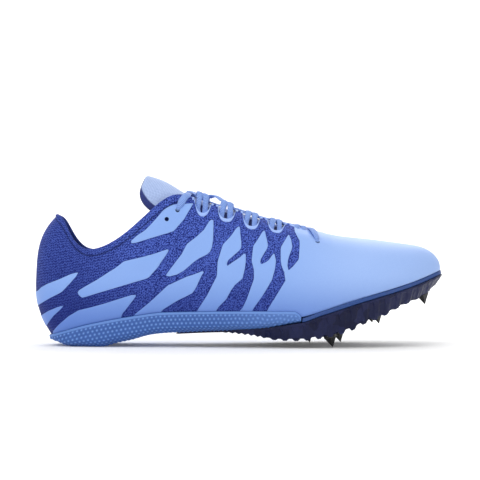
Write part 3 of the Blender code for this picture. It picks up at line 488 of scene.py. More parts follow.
def inside_by(points, corners):
    """Distance to a polygon's border, positive inside it: the least distance to its edges,
    and the side from counting how many edges a level ray crosses."""
    corner = np.asarray(corners, float)
    edge = np.roll(corner, -1, 0) - corner
    away = points[..., None, :] - corner
    along = np.clip((away * edge).sum(-1) / (edge ** 2).sum(-1), 0, 1)
    distance = np.linalg.norm(away - along[..., None] * edge, axis=-1).min(-1)
    below = away[..., 1] < 0
    beyond = (points[..., None, :] - np.roll(corner, -1, 0))[..., 1] < 0
    lean = edge[:, 0] * away[..., 1] - edge[:, 1] * away[..., 0]
    crossed = (below != beyond) & ((lean > 0) == (edge[:, 1] < 0))
    return np.where(crossed.sum(-1) % 2 == 1, distance, -distance)


def panel_distance(points):
    """Distance in metres into the nearest film panel, negative out on the bare mesh."""
    flat = seen_from_side(points)
    return np.max([inside_by(flat, corners) for corners in PANELS.values()], axis=0) / 1000


trial = np.array(((0.0, -0.04, 0.05), (-0.10, -0.02, 0.06)))
print("Film at two places, mm:", np.round(panel_distance(trial) * 1000, 1))

# %% [markdown]
# Knitted mesh, film and foam all need the same few sums in their materials: a wave, a
# threshold, a mix. Two short helpers keep the node trees readable. A shared effect is a
# node group that gives out only a mask or a height, and each material uses it its own way.

# %% Helpers for node trees
def node(tree, kind, inputs=None, **settings):
    """Adds a node, sets its options, then links or fills each input that is given."""
    made = tree.nodes.new(kind)
    for key, value in settings.items():
        setattr(made, key, value)
    for key, value in (inputs or {}).items():
        if isinstance(value, bpy.types.NodeSocket):
            tree.links.new(value, made.inputs[key])
        else:
            made.inputs[key].default_value = value
    return made


def maths(tree, operation, first, second=0.0, third=0.0):
    """One Math node's answer."""
    return node(tree, "ShaderNodeMath", {0: first, 1: second, 2: third}, operation=operation).outputs[0]


def ramp(tree, value, low, high, start=0.0, end=1.0):
    """A smooth rise of value from low to high, given as start to end."""
    made = node(tree, "ShaderNodeMapRange",
                {"Value": value, "From Min": low, "From Max": high, "To Min": start, "To Max": end},
                interpolation_type="SMOOTHSTEP")
    return made.outputs["Result"]


def blend(tree, share, first, second):
    """A mix of two colours by a share."""
    made = node(tree, "ShaderNodeMix", {"Factor": share}, data_type="RGBA")
    for socket, value in ((made.inputs[6], first), (made.inputs[7], second)):
        if isinstance(value, bpy.types.NodeSocket):
            tree.links.new(value, socket)
        else:
            socket.default_value = (*value, 1)
    return made.outputs[2]


def field(tree, name):
    """A field stored on the piece's corners."""
    return node(tree, "ShaderNodeAttribute", attribute_name=name).outputs["Fac"]


def new_group(name, inputs, outputs):
    """An empty node group with number sockets; a vector where the name says so."""
    group = bpy.data.node_groups.new(name, "ShaderNodeTree")
    for way, names in (("INPUT", inputs), ("OUTPUT", outputs)):
        for label in names:
            kind = "NodeSocketVector" if label == "Vector" else "NodeSocketFloat"
            group.interface.new_socket(label, in_out=way, socket_type=kind)
    return group, group.nodes.new("NodeGroupInput").outputs, group.nodes.new("NodeGroupOutput").inputs


def grouped(tree, group, inputs):
    """Places a node group, fills its inputs and gives its outputs."""
    made = tree.nodes.new("ShaderNodeGroup")
    made.node_tree = group
    for key, value in inputs.items():
        if isinstance(value, bpy.types.NodeSocket):
            tree.links.new(value, made.inputs[key])
        else:
            made.inputs[key].default_value = value
    return made.outputs


def noise(tree, place, scale, detail, roughness=0.5):
    """A noise texture's height."""
    return node(tree, "ShaderNodeTexNoise", {"Vector": place, "Scale": scale, "Detail": detail,
                                             "Roughness": roughness}).outputs["Fac"]


def new_material(name):
    """A material with its tree, its Principled shader and its object coordinates."""
    made = bpy.data.materials.new(name)
    made.use_nodes = True
    tree = made.node_tree
    return made, tree, tree.nodes["Principled BSDF"], node(tree, "ShaderNodeTexCoord").outputs["Object"]


def finish_look(tree, shader, color, roughness, height, distance, strength=1.0):
    """Feeds the shader's colour and roughness, and its normal from a height between 0 and
    1 that is distance metres tall."""
    bump = node(tree, "ShaderNodeBump", {"Height": height, "Distance": distance, "Strength": strength})
    sources = {"Base Color": color, "Roughness": roughness, "Normal": bump.outputs["Normal"]}
    for socket, value in sources.items():
        tree.links.new(value, shader.inputs[socket])

# %% [markdown]
# The quarter is a warp-knitted mesh in a marl of two blues: loops stand in leaning columns
# and their tops catch the light. The group makes columns of V stitches from two lengths
# along the cloth, lets noise push them about as yarn does, and adds the finer speckle.

# %% Knitted cloth as a node group
KNIT_COLUMN = 0.0025
KNIT_ROW = 0.0019

knit, given, gives = new_group("knitted cloth", ("Vector", "Along", "Height"), ("Stitch", "Speckle"))
push = maths(knit, "MULTIPLY_ADD", noise(knit, given["Vector"], 420.0, 2.0), 1.1, -0.55)
across = maths(knit, "MULTIPLY_ADD", given["Along"], 1 / KNIT_COLUMN, push)
bend = maths(knit, "PINGPONG", across, 0.5)
upward = maths(knit, "MULTIPLY_ADD", given["Height"], 1 / KNIT_ROW, bend)
turned = maths(knit, "MULTIPLY", maths(knit, "ADD", upward, push), 2 * np.pi)
loop_top = maths(knit, "MULTIPLY_ADD", maths(knit, "SINE", turned), 0.5, 0.5)
wale = maths(knit, "MULTIPLY", maths(knit, "PINGPONG", maths(knit, "MULTIPLY", across, 2.0), 0.5), 2.0)
stitch = maths(knit, "MULTIPLY_ADD", wale, 0.45, maths(knit, "MULTIPLY", loop_top, 0.55))
knit.links.new(stitch, gives["Stitch"])
fleck = noise(knit, given["Vector"], 1300.0, 3.0, 0.65)
knit.links.new(ramp(knit, fleck, 0.40, 0.60), gives["Speckle"])
print("Nodes in the knit:", len(knit.nodes))

# %% [markdown]
# One material dresses the whole upper. The panel field says where smooth film lies over
# the mesh: a clean edge, a little thickness, and the knit only just showing through. The
# cuff field gives the knitted collar band its groove, darkened with painted shade, and the
# binding field gives each notch its bound edge. The mesh is darkened with painted shade
# towards the sole and the heel, and the film towards the sole. Three pairs of small
# eyelets are holes in the outer face.

# %% Upper: mesh, film panels, collar and bindings
MESH_DARK = (0.002, 0.010, 0.140)
MESH_LIGHT = (0.088, 0.156, 0.640)
FILM_FRONT = (0.350, 0.515, 0.900)
FILM_SIDE = (0.262, 0.430, 0.850)
FILM_LOW_SHADE = (0.120, 0.235, 0.640)
LINING = (0.012, 0.022, 0.110)
BINDING = (0.330, 0.485, 0.920)
EYELETS = ((-0.0502, 0.0874, 6.5, 9.0), (-0.0427, 0.0936, 7.0, 9.5), (0.0531, 0.0722, 11.5, 13.0))
EYELET_RADIUS = 0.0015
FILM_HEIGHT = 0.0003
EDGE_BLUR = 0.00012


def wall_place(aim_x, aim_z, low, high):
    """The row, and the share of the way up, of the outer wall's point that looks nearest to
    a place between two rows: the least squared distance over a fine grid."""
    rows, shares = np.linspace(low, high, 160)[:, None], np.linspace(0.55, 1.0, 300)
    points = centred(upper_form(upright(rows, shares), shares))
    away = (points[..., 0] - aim_x) ** 2 + (points[..., 2] - aim_z) ** 2
    best = np.unravel_index(np.argmin(away), away.shape)
    return rows[best[0], 0], shares[best[1]]


eyelet_rows = [wall_place(*eyelet) for eyelet in EYELETS]
eyelet_points = [centred(upper_form(upright(side * hole_row, hole_share), hole_share))
                 for hole_row, hole_share in eyelet_rows for side in (1, -1)]
print("Eyelets, mm:", np.round(np.array(eyelet_points) * 1000, 1).tolist())

upper_look, tree, shader, place = new_material("mesh and film")
cloth = {"Vector": place, "Along": field(tree, "along"), "Height": field(tree, "height")}
knitted = grouped(tree, knit, cloth)
split = node(tree, "ShaderNodeSeparateXYZ", {0: place})
finer = ramp(tree, split.outputs["X"], -0.095, -0.045, 0.30, 0.62)
marl = node(tree, "ShaderNodeMix", {"Factor": finer, 2: knitted["Stitch"], 3: knitted["Speckle"]}).outputs[0]
mesh_color = blend(tree, ramp(tree, marl, 0.24, 0.76), MESH_DARK, MESH_LIGHT)
cloud = noise(tree, place, 38.0, 2.0)
# Painted shade: the mesh darkens towards the sole and towards the heel; the cloud noise adds a random mottle.
painted_shade_and_mottle = maths(tree, "MULTIPLY_ADD", ramp(tree, split.outputs["Z"], 0.070, 0.020), 0.38,
            ramp(tree, split.outputs["X"], -0.060, -0.115, 0.0, 0.34))
painted_shade_and_mottle = maths(tree, "ADD", painted_shade_and_mottle, ramp(tree, cloud, 0.35, 0.75, 0.0, 0.12))
mesh_color = blend(tree, painted_shade_and_mottle, mesh_color, MESH_DARK)
# Painted shade: the film darkens towards the sole.
rise = ramp(tree, split.outputs["Z"], 0.010, 0.052)
film_color = blend(tree, ramp(tree, split.outputs["X"], 0.010, 0.090), FILM_SIDE, FILM_FRONT)
film_color = blend(tree, rise, FILM_LOW_SHADE, film_color)
film_color = blend(tree, maths(tree, "MULTIPLY", knitted["Speckle"], 0.05), film_color, MESH_LIGHT)
panel = field(tree, "panel")
film = ramp(tree, panel, -EDGE_BLUR, EDGE_BLUR)
color = blend(tree, film, mesh_color, film_color)
rim_shade = maths(tree, "MULTIPLY", ramp(tree, panel, -0.0009, -0.0001), maths(tree, "SUBTRACT", 1.0, film))
color = blend(tree, maths(tree, "MULTIPLY", rim_shade, 0.45), color, MESH_DARK)
cuff = field(tree, "cuff")
collar = field(tree, "collar")
on_cuff = maths(tree, "MULTIPLY", ramp(tree, cuff, -0.0001, 0.0001), collar)
color = blend(tree, on_cuff, color, mesh_color)
# Painted shade: the groove along the cuff line is darkened, besides being cut in by the bump.
groove_and_shade = maths(tree, "SUBTRACT", 1.0, ramp(tree, maths(tree, "ABSOLUTE", cuff), 0.00015, 0.00060))
groove_and_shade = maths(tree, "MULTIPLY", groove_and_shade, collar)
color = blend(tree, maths(tree, "MULTIPLY", groove_and_shade, 0.55), color, (0.004, 0.008, 0.060))
bound = ramp(tree, field(tree, "binding"), -EDGE_BLUR, EDGE_BLUR)
color = blend(tree, bound, color, BINDING)
inner = field(tree, "inside")
lining_color = blend(tree, knitted["Speckle"], LINING, MESH_DARK)
color = blend(tree, inner, color, lining_color)
smooth = maths(tree, "MAXIMUM", maths(tree, "MULTIPLY", film, maths(tree, "SUBTRACT", 1.0, on_cuff)), bound)
smooth = maths(tree, "MULTIPLY", smooth, maths(tree, "SUBTRACT", 1.0, inner))
relief = maths(tree, "MULTIPLY", maths(tree, "MULTIPLY_ADD", knitted["Speckle"], 0.4, knitted["Stitch"]),
               ramp(tree, smooth, 0.0, 1.0, 0.40, 0.05))
relief = maths(tree, "ADD", relief, maths(tree, "MULTIPLY", smooth, 0.55))
finish_look(tree, shader, color, ramp(tree, smooth, 0.0, 1.0, 0.82, 0.44),
            maths(tree, "SUBTRACT", relief, groove_and_shade), FILM_HEIGHT * 1.3)
open_share = 1.0
for centre in eyelet_points:
    away = node(tree, "ShaderNodeVectorMath", {0: place, 1: tuple(centre)}, operation="DISTANCE")
    solid = ramp(tree, away.outputs["Value"], EYELET_RADIUS - 0.0001, EYELET_RADIUS + 0.0001)
    open_share = maths(tree, "MULTIPLY", solid, open_share)
tree.links.new(open_share, shader.inputs["Alpha"])
shader.inputs["Specular IOR Level"].default_value = 0.25
shader.inputs["Sheen Weight"].default_value = 0.03
shader.inputs["Sheen Roughness"].default_value = 0.5
print("Nodes in the upper's look:", len(tree.nodes))

# %% [markdown]
# The upper itself is one shell: the outer face, a rounded rim over the collar and throat,
# and the lining. Columns stand about a millimetre apart round the foot and closer at the
# notches, and the rows below each notch give way to it gradually.

# %% Build the upper
UPPER_COLUMNS = 400
WALL_ROWS = 56
CUFF_ROWS = 9
RIM_ROWS = 6
LINING_ROWS = 16
GIVE_FROM = 0.62
CUFF_ROLL = 0.22
RELAX_ROUNDS = 220
RELAX_REACH = (1.6, 0.9)
RELAX_TOP = (0.97, 0.85)
FILM_EDGE = 0.0005
LINING_SHOWS = (0.05, 0.14)
BOUND_WIDTH = 0.0016
CREASE_HEIGHTS = (0.050, 0.062)
CREASE_SIDES = (0.036, 0.018)
CREASES = ((0.046, 0.16, 0.0050, 0.00035), (0.057, 0.22, 0.0060, 0.00045), (0.070, 0.30, 0.0065, 0.00030))


def even_turns(count):
    """Places round the ring, even in length along the longer of the lower edge and the
    top edge, and half as far apart in the throat."""
    dense = np.linspace(0, TOE_ROW, 6001)
    low = np.linalg.norm(np.diff(outline(dense), axis=0), axis=1)
    top = np.linalg.norm(np.diff(top_edge(dense), axis=0), axis=1)
    throat = (dense[1:] > THROAT_TOP_ROW) & (dense[1:] < THROAT_END_ROW + 0.2)
    length = np.concatenate(((0,), np.cumsum(np.maximum(low, top) * np.where(throat, 2, 1))))
    side = np.interp(np.linspace(0, length[-1], count), length, dense)
    return np.concatenate((side, 2 * TOE_ROW - side[-2:0:-1]))


turn = even_turns(UPPER_COLUMNS)
row = row_of(turn)
speed = edge_speed(turn)
collar_share = np.clip(THROAT_TOP_ROW + 0.5 - row, 0, 1)
cuff_back = np.clip(row / THROAT_TOP_ROW, 0, 1)
cuff_width = CUFF_WIDTH_BACK + (CUFF_WIDTH_FRONT - CUFF_WIDTH_BACK) * cuff_back
cuff_width = CUFF_WIDTH_TAB + (cuff_width - CUFF_WIDTH_TAB) * np.clip(row / CUFF_TAB_ROW, 0, 1)
cuff_width = collar_share * cuff_width + (1 - collar_share) * BINDING_WIDTH
step = ((collar_share * CUFF_STEP + (1 - collar_share) * BINDING_STEP)
        * np.clip(THROAT_END_ROW - row, 0, 1))
rim_radius = (UPPER_WALL + step) / 2 * (row < THROAT_END_ROW)
end_share = 1 - (notch_depth(turn) + rim_radius) / speed
line_share = 1 - (notch_depth(turn) + cuff_width) / speed
even_share = 1 - cuff_width / speed

rows_up = np.linspace(0, 1, WALL_ROWS)
give = smooth_step(GIVE_FROM, 1.0, rows_up) * rows_up
wall = even_share[:, None] * rows_up + (line_share - even_share)[:, None] * give
over = np.linspace(0, 1, CUFF_ROWS + 1)[1:]
cuff_part = line_share[:, None] + (end_share - line_share)[:, None] * over
share = np.concatenate((wall, cuff_part), 1)
ring = upright(turn[:, None], share)


def relax(points, strength, rounds):
    """Evens a surface out along the ring where strength is over 0: each corner moves to
    the middle of its two neighbours by that share, some rounds over."""
    for _ in range(rounds):
        middle_point = (np.roll(points, 1, 0) + np.roll(points, -1, 0)) / 2
        points = points + (middle_point - points) * strength[..., None]
    return points


near_end = smooth_step(*RELAX_REACH, np.abs(row - THROAT_END_ROW))[:, None]
ease = near_end * smooth_step(*RELAX_TOP, share)
face = relax(upper_form(ring, share), ease, RELAX_ROUNDS)
out = form_normal(ring, share)
cuff_field = (share - line_share[:, None]) * speed[:, None]
rolled = np.clip(over / CUFF_ROLL, 0, 1)
roll = np.sqrt(rolled * (2 - rolled))
raised = np.concatenate((np.zeros((len(turn), WALL_ROWS)), step[:, None] * roll), 1)
panel_field = panel_distance(centred(face))
raised = raised + FILM_HEIGHT * smooth_step(-FILM_EDGE, FILM_EDGE, panel_field) * (cuff_field < 0)
crease = np.zeros(share.shape)
vamp_points = centred(face)
for crease_x, lean, width, depth in CREASES:
    away = vamp_points[..., 0] - crease_x + lean * (vamp_points[..., 2] - 0.07)
    reach = smooth_step(*CREASE_HEIGHTS, vamp_points[..., 2])
    reach = reach * smooth_step(*CREASE_SIDES, np.abs(vamp_points[..., 1]))
    crease = crease - depth * np.exp(-(away / width) ** 2) * reach * (row[:, None] > THROAT_END_ROW)
outer_face = face + out * (raised + crease)[..., None]
print("Outer face corners:", outer_face.shape[:2])
print("Deepest crease, mm:", round(-1000 * float(crease.min()), 2))


def close_ridge(points, turns):
    """Ahead of the throat both sides end on one ridge line: each last corner moves to the
    middle between itself and its mate across the shoe."""
    mate = (len(turns) - np.arange(len(turns))) % len(turns)
    shut = row_of(turns) >= THROAT_END_ROW
    joined = points.copy()
    joined[shut, -1] = ((points[:, -1] + points[mate, -1]) / 2)[shut]
    return joined


def rim_over(edge, upward, normal, radius, count):
    """Half circle from the outer face's end over to the lining's: its middle lies one
    radius in, and it bulges up along the wall."""
    angle = np.linspace(0, np.pi, count + 2)[1:-1, None]
    radius = radius[:, None, None]
    normal, upward = normal[:, None], unit(upward)[:, None]
    return edge[:, None] - normal * radius * (1 - np.cos(angle)) + upward * radius * np.sin(angle)


outer_face = close_ridge(outer_face, turn)
lining_rows = np.linspace(1, 0, LINING_ROWS)
lining_share = end_share[:, None] * lining_rows
lining_ring = upright(turn[:, None], lining_share)
lining = upper_form(lining_ring, lining_share) - form_normal(lining_ring, lining_share) * UPPER_WALL
flat_out = np.concatenate((outward(turn), np.zeros((len(turn), 1))), 1)
lining[:, -1] = outer_face[:, 0] - flat_out * UPPER_WALL
lining[:, -1, 2] = seat(lining[:, -1, 0])
lining = close_ridge(lining[:, ::-1], turn)[:, ::-1]
rim = rim_over(outer_face[:, -1], face[:, -1] - face[:, -5], out[:, -1], rim_radius, RIM_ROWS)
shut = row >= THROAT_END_ROW
rim[shut] = outer_face[shut, -1][:, None]
upper_points = np.concatenate((outer_face, rim, lining), 1)
columns = upper_points.shape[1]
outside = WALL_ROWS + CUFF_ROWS


def widened(values, rim_value, lining_value):
    """A field of the outer face carried on over the rim and the lining."""
    others = np.zeros((len(turn), columns - outside))
    others[:, RIM_ROWS:] = lining_value
    others[:, :RIM_ROWS] = values[:, -1:] if rim_value is None else rim_value
    return np.concatenate((values, others), 1)


inside_lining = smooth_step(*LINING_SHOWS, end_share[:, None] - lining_share) * np.ones(lining.shape[:2])
along_cloth = np.cumsum(np.linalg.norm(np.diff(outline(turn), axis=0, append=outline(turn[:1])), axis=1))
height_up = travelled(upper_points, 1)
off_notch = NOTCH_WIDTH / 2 + BOUND_WIDTH - notch_offset(turn)[0]
bound_field = np.minimum(cuff_field, np.where(collar_share < 0.5, off_notch, -1)[:, None])
upper_faces = grid_quads(len(turn), columns, wrap=True)
foot_here = np.arange(len(turn))
foot_next = (foot_here + 1) % len(turn)
foot_faces = np.stack((foot_here * columns, foot_here * columns + columns - 1,
                       foot_next * columns + columns - 1, foot_next * columns), 1)
add_piece(
    "upper_shell", centred(upper_points), np.concatenate((upper_faces, foot_faces)), upper_look,
    "upper_mesh", ["upper"],
    panel=widened(panel_field, None, -1), cuff=widened(cuff_field, None, 0.01),
    collar=np.broadcast_to(np.where(row < THROAT_TOP_ROW + 0.5, collar_share, 0)[:, None],
                           (len(turn), columns)),
    binding=widened(bound_field, None, -1), along=np.broadcast_to(along_cloth[:, None], (len(turn), columns)),
    height=height_up, inside=widened(np.zeros((len(turn), outside)), 0, inside_lining),
)

# %% [markdown]
# The heel wedge is moulded foam: a thin lip holds the upper, the wall swells and draws in
# below, and small pimples cover it in staggered rows. Its wall is a curve through four
# offsets from the foot's outline, and each pimple pushes it out by a smooth dome. Their
# rows wander toward the nose. Under the sole, where they are barely seen, dots in the
# material stand for them.

# %% Heel wedge
LIP_THICKNESS = 0.0014
LIP_SLOPE = 0.0003
WEDGE_SWELL = 0.0028
WEDGE_SWELL_LOW = 0.0008
WEDGE_STAND = 0.0010
WEDGE_STAND_LOW = 0.0002
WEDGE_INSET = 0.0040
WEDGE_FULL_HEIGHT = 0.0120
WEDGE_NOSE = 0.645
NOSE_ROUND = 0.0040
PIMPLE_PITCH = 0.0030
PIMPLE_RADIUS = 0.0013
PIMPLE_HEIGHT = 0.00042
SMOOTH_RIM = 0.0016
WEDGE_COLUMNS = 820
WEDGE_ROWS = 40
WALL_KNOTS = (0, 0.38, 0.85, 1.0)
WANDER = 0.22
WALL_FROM = 5
OFF_WALL = 0.02


def row_at(place):
    """The section row whose lower edge lies at a share of the length."""
    rows = np.linspace(0, TOE_ROW, 40 * TOE_ROW + 1)
    return np.interp(place, both_sides("foot", rows), rows)


def middle(turns):
    """The sole's middle line: the spine column along, halfway between the sides across."""
    return np.stack((both_sides("spine", turns) * LENGTH,
                     (outline(turns)[..., 1] + outline(-turns)[..., 1]) / 2), -1)


def wedge_under(along):
    """Height of the wedge's lower face."""
    return monotone(WEDGE_UNDER, along / LENGTH) * TOE_RISE


def through(knots, values, at):
    """Curve through a row of values at fixed knots, for many rows at once: cubic pieces
    whose slopes are the chords between the neighbours."""
    knots = np.asarray(knots, float)
    slope = np.gradient(values, knots, axis=1)
    low = np.clip(np.searchsorted(knots, at, side="right") - 1, 0, len(knots) - 2)
    span = (knots[low + 1] - knots[low])
    part = (at - knots[low]) / span
    start = (1 + 2 * part) * (1 - part) ** 2 * values[:, low] + part * (1 - part) ** 2 * span * slope[:, low]
    return start + (part ** 2 * (3 - 2 * part) * values[:, low + 1]
                    - part ** 2 * (1 - part) * span * slope[:, low + 1])


def bent_strip(rows, columns):
    """Quads of a grid, and one face between its first and last rows, which face each other."""
    last = (rows - 1) * columns
    ends = list(range(columns)) + list(range(last + columns - 1, last - 1, -1))
    return grid_quads(rows, columns).tolist() + [ends]


def leveled(plan, height):
    """Points from a plan and their heights."""
    return np.concatenate((plan, np.broadcast_to(height, plan.shape[:-1])[..., None]), -1)


def grid_normals(points):
    """Unit normals of an open grid: the cross product of its two directions."""
    return unit(np.cross(np.gradient(points, axis=0), np.gradient(points, axis=1)))


def even_open(start, stop, count):
    """Places along a part of the ring, even in length along the outline, and the lengths."""
    dense = np.linspace(start, stop, 8001)
    length = travelled(outline(dense))
    even = np.linspace(0, length[-1], count)
    return np.interp(even, length, dense), even


def dome_field(along, down):
    """Nearness to the closest point of a staggered lattice, from 1 at it to 0 a radius
    away: (1 - (d/r)^2)^2 of the nearer of two rectangular lattices."""
    tall = PIMPLE_PITCH * np.sqrt(3)

    def nearest(shift):
        side = (along / PIMPLE_PITCH - shift + 0.5) % 1 - 0.5
        drop = (down / tall - shift + 0.5) % 1 - 0.5
        return np.hypot(side * PIMPLE_PITCH, drop * tall)

    away = np.minimum(nearest(0.0), nearest(0.5)) / PIMPLE_RADIUS
    return np.clip(1 - away ** 2, 0, None) ** 2


nose = float(row_at(WEDGE_NOSE))
wedge_turn, wedge_length = even_open(-nose, nose, WEDGE_COLUMNS)
edge, way = outline(wedge_turn), outward(wedge_turn)
spine = middle(wedge_turn)
base = seat(edge[:, 0])
room = np.clip((WEDGE_NOSE * LENGTH - edge[:, 0]) / NOSE_ROUND, 0, 1)
lip = base + np.maximum(monotone(RIM, edge[:, 0] / LENGTH) * TOE_RISE - base, CLEARANCE) * np.sqrt(room)
crown = np.clip(both_sides("crown", wedge_turn), 0, 1)
lip_share = (lip - base) / (top_edge(wedge_turn)[:, 2] - base) / ((1 - crown) + crown * np.pi / 2)
lip_plan = upper_form(wedge_turn, lip_share)[:, :2] + way * CLEARANCE
under = wedge_under(edge[:, 0])
deep = np.clip((lip - under) / WEDGE_FULL_HEIGHT, 0, 1)
lip_out = ((lip_plan - edge) * way).sum(-1) + LIP_THICKNESS
offsets = np.stack((lip_out, WEDGE_SWELL * deep + WEDGE_STAND,
                    WEDGE_SWELL_LOW * deep + WEDGE_STAND_LOW, -WEDGE_INSET * deep), 1)
down = np.linspace(0, 1, WEDGE_ROWS)
wall_out = through(WALL_KNOTS, offsets, down)
low_plan = edge - way * (WEDGE_INSET * deep)[:, None]
foot_height = wedge_under(low_plan[:, 0])
wall_height = (lip - LIP_SLOPE)[:, None] * (1 - down) + foot_height[:, None] * down
wall_face = leveled(edge[:, None] + way[:, None] * wall_out[..., None], wall_height)
wall_normal = grid_normals(wall_face)
wall_normal = wall_normal * np.sign((wall_normal[..., :2] * way[:, None]).sum(-1).mean())
fallen = travelled(wall_face, 1)
loose = smooth_step(0.02, 0.09, wall_face[..., 0] - LENGTH / 2 + 0.05)
wander = loose * PIMPLE_PITCH * WANDER
across_field = wedge_length[:, None] + wander * np.sin(fallen / 0.0017 + wedge_length[:, None] / 0.0061)
down_field = fallen + wander * np.sin(wedge_length[:, None] / 0.0023 + fallen / 0.0043)
pimple = dome_field(across_field, down_field) * smooth_step(SMOOTH_RIM, SMOOTH_RIM + 0.0006, fallen)
wall_face = wall_face + wall_normal * (pimple * PIMPLE_HEIGHT)[..., None]
wall_face[..., 2] = np.maximum(wall_face[..., 2], 0)

seat_side = np.array((1.0, 0.5))
seat_plan = edge[:, None] + (spine - edge)[:, None] * seat_side[:, None]
sole_side = np.linspace(0, 1, 7)[1:]
sole_plan = low_plan[:, None] + (spine - low_plan)[:, None] * sole_side[:, None]
wedge_points = np.concatenate((
    leveled(seat_plan, seat(seat_plan[..., 0]) - CLEARANCE),
    leveled(edge + way * CLEARANCE, base - CLEARANCE)[:, None],
    leveled(lip_plan, lip)[:, None],
    leveled(lip_plan + way * LIP_THICKNESS * 0.5, lip + LIP_SLOPE * 0.6)[:, None],
    wall_face,
    leveled(sole_plan, wedge_under(sole_plan[..., 0])),
), 1)
pimple_field = np.zeros(wedge_points.shape[:2])
pimple_field[:, WALL_FROM:WALL_FROM + WEDGE_ROWS] = pimple
rim_field = np.full(wedge_points.shape[:2], OFF_WALL)
rim_field[:, WALL_FROM:WALL_FROM + WEDGE_ROWS] = fallen
print("Wedge corners:", wedge_points.shape[:2])

# %% [markdown]
# Foam and plastic share a faint moulded grain. The wedge's pimples are painted paler on
# their tops as highlight and darker in the hollows between as shade, and the wedge is
# paler along its rim.

# %% Moulded grain and the wedge's look
grain, given, gives = new_group("moulded grain", ("Vector", "Scale"), ("Height",))
coarse = noise(grain, given["Vector"], given["Scale"], 4.0)
fine = node(grain, "ShaderNodeTexVoronoi", {"Vector": given["Vector"], "Scale": given["Scale"]})
grain.links.new(maths(grain, "MULTIPLY_ADD", fine.outputs["Distance"], 0.4, coarse), gives["Height"])


def grained(tree, place, scale):
    """The moulded grain's height in a material."""
    return grouped(tree, grain, {"Vector": place, "Scale": scale})["Height"]



WEDGE_HOLLOW_SHADE = (0.028, 0.098, 0.360)
WEDGE_BLUE = (0.060, 0.168, 0.490)
WEDGE_TOP = (0.150, 0.300, 0.700)
WEDGE_RIM = (0.115, 0.250, 0.620)
foam_look, tree, shader, place = new_material("pimpled foam")
dome = field(tree, "pimple")
below = field(tree, "rim")
x_place = node(tree, "ShaderNodeSeparateXYZ", {0: place}).outputs["X"]
# Painted shade in the hollows between the pimples, and a painted highlight on their tops.
foam_color = blend(tree, ramp(tree, dome, 0.02, 0.45), WEDGE_HOLLOW_SHADE, WEDGE_BLUE)
foam_color = blend(tree, ramp(tree, dome, 0.40, 0.95), foam_color, WEDGE_TOP)
under_sole = ramp(tree, below, 0.0185, 0.0195)
lattice = node(tree, "ShaderNodeTexVoronoi", {"Vector": place, "Scale": 1 / PIMPLE_PITCH, "Randomness": 0.15})
dots = maths(tree, "MULTIPLY", ramp(tree, lattice.outputs["Distance"], 0.42, 0.12), under_sole)
foam_color = blend(tree, maths(tree, "MULTIPLY", dots, 0.7), foam_color, WEDGE_BLUE)
on_rim = maths(tree, "SUBTRACT", 1.0, ramp(tree, below, SMOOTH_RIM * 0.7, SMOOTH_RIM * 1.2))
foam_color = blend(tree, on_rim, foam_color, WEDGE_RIM)
ahead = ramp(tree, x_place, -0.02, 0.04, 0.0, 0.38)
foam_color = blend(tree, ahead, foam_color, WEDGE_TOP)
moulded = grained(tree, place, 900.0)
finish_look(tree, shader, foam_color, ramp(tree, moulded, 0.3, 0.9, 0.42, 0.62),
            maths(tree, "MULTIPLY_ADD", moulded, 0.15, dots), 0.0004)
add_piece("wedge_foam", centred(wedge_points), bent_strip(*wedge_points.shape[:2]), foam_look,
          "wedge_foam", ["heel_wedge"], pimple=pimple_field, rim=rim_field)

# %% [markdown]
# From the wedge's nose to the toe a thin foam band lies between the upper and the plate.
# Its edge is the outline moved out a little, with its two corners rounded over.

# %% Forefoot band
BAND_THICKNESS = 0.0030
BAND_PROUD = 0.0006
BAND_ROUNDING = 0.0005
NOSE_GAP = 0.0008
BAND_COLUMNS = 420
BAND_DARK = (0.009, 0.042, 0.190)
BAND_BLUE = (0.016, 0.066, 0.260)

band_look, tree, shader, place = new_material("smooth foam")
moulded = grained(tree, place, 700.0)
band_color = blend(tree, ramp(tree, moulded, 0.3, 0.9), BAND_DARK, BAND_BLUE)
finish_look(tree, shader, band_color, ramp(tree, moulded, 0.3, 0.9, 0.38, 0.56), moulded, 0.00005)

start = float(row_at(WEDGE_NOSE + NOSE_GAP / LENGTH))
band_turn, _ = even_open(start, 2 * TOE_ROW - start, BAND_COLUMNS)
edge, way = outline(band_turn), outward(band_turn)
spine = middle(band_turn)
bow = np.linspace(0, 1, 9)
round_out = BAND_PROUD * (1 + bow) - BAND_ROUNDING * (1 - np.sqrt(1 - (2 * bow - 1) ** 6))
edge_plan = edge[:, None] + way[:, None] * round_out[:, None]
edge_height = seat(edge_plan[..., 0]) - CLEARANCE - BAND_THICKNESS * bow
top_face = np.stack([leveled(plan, seat(plan[:, 0]) - CLEARANCE) for plan in (spine, (edge + spine) / 2)], 1)
low_face = top_face[:, ::-1] - np.array((0, 0, BAND_THICKNESS))
band_points = np.concatenate((top_face, leveled(edge_plan, edge_height), low_face), 1)
add_piece("forefoot_foam", centred(band_points), bent_strip(*band_points.shape[:2]), band_look,
          "band_foam", ["forefoot_band"])

# %% [markdown]
# The plate is stiff nylon with faceted ribs, and its solid already has them, so it stays
# and takes a better look: near-black blue that changes from facet to facet, with paler
# worn edges. The pins are hardened steel, blackened, with worn bright edges.

# %% Plate and pins
PLATE_DARK = (0.004, 0.006, 0.034)
PLATE_NAVY = (0.013, 0.017, 0.070)
PLATE_WORN = (0.026, 0.034, 0.130)
PIN_DARK = (0.020, 0.020, 0.022)
PIN_GREY = (0.060, 0.060, 0.066)
PIN_WORN = (0.30, 0.28, 0.25)


def edge_wear(tree, distance, low, high):
    """How sharp an edge is nearby: the angle between the true normal and a rounded one."""
    rounded = node(tree, "ShaderNodeBevel", {"Radius": distance}, samples=6).outputs["Normal"]
    true = node(tree, "ShaderNodeNewGeometry").outputs["Normal"]
    match = node(tree, "ShaderNodeVectorMath", {0: rounded, 1: true}, operation="DOT_PRODUCT")
    return ramp(tree, match.outputs["Value"], low, high, 1.0, 0.0)


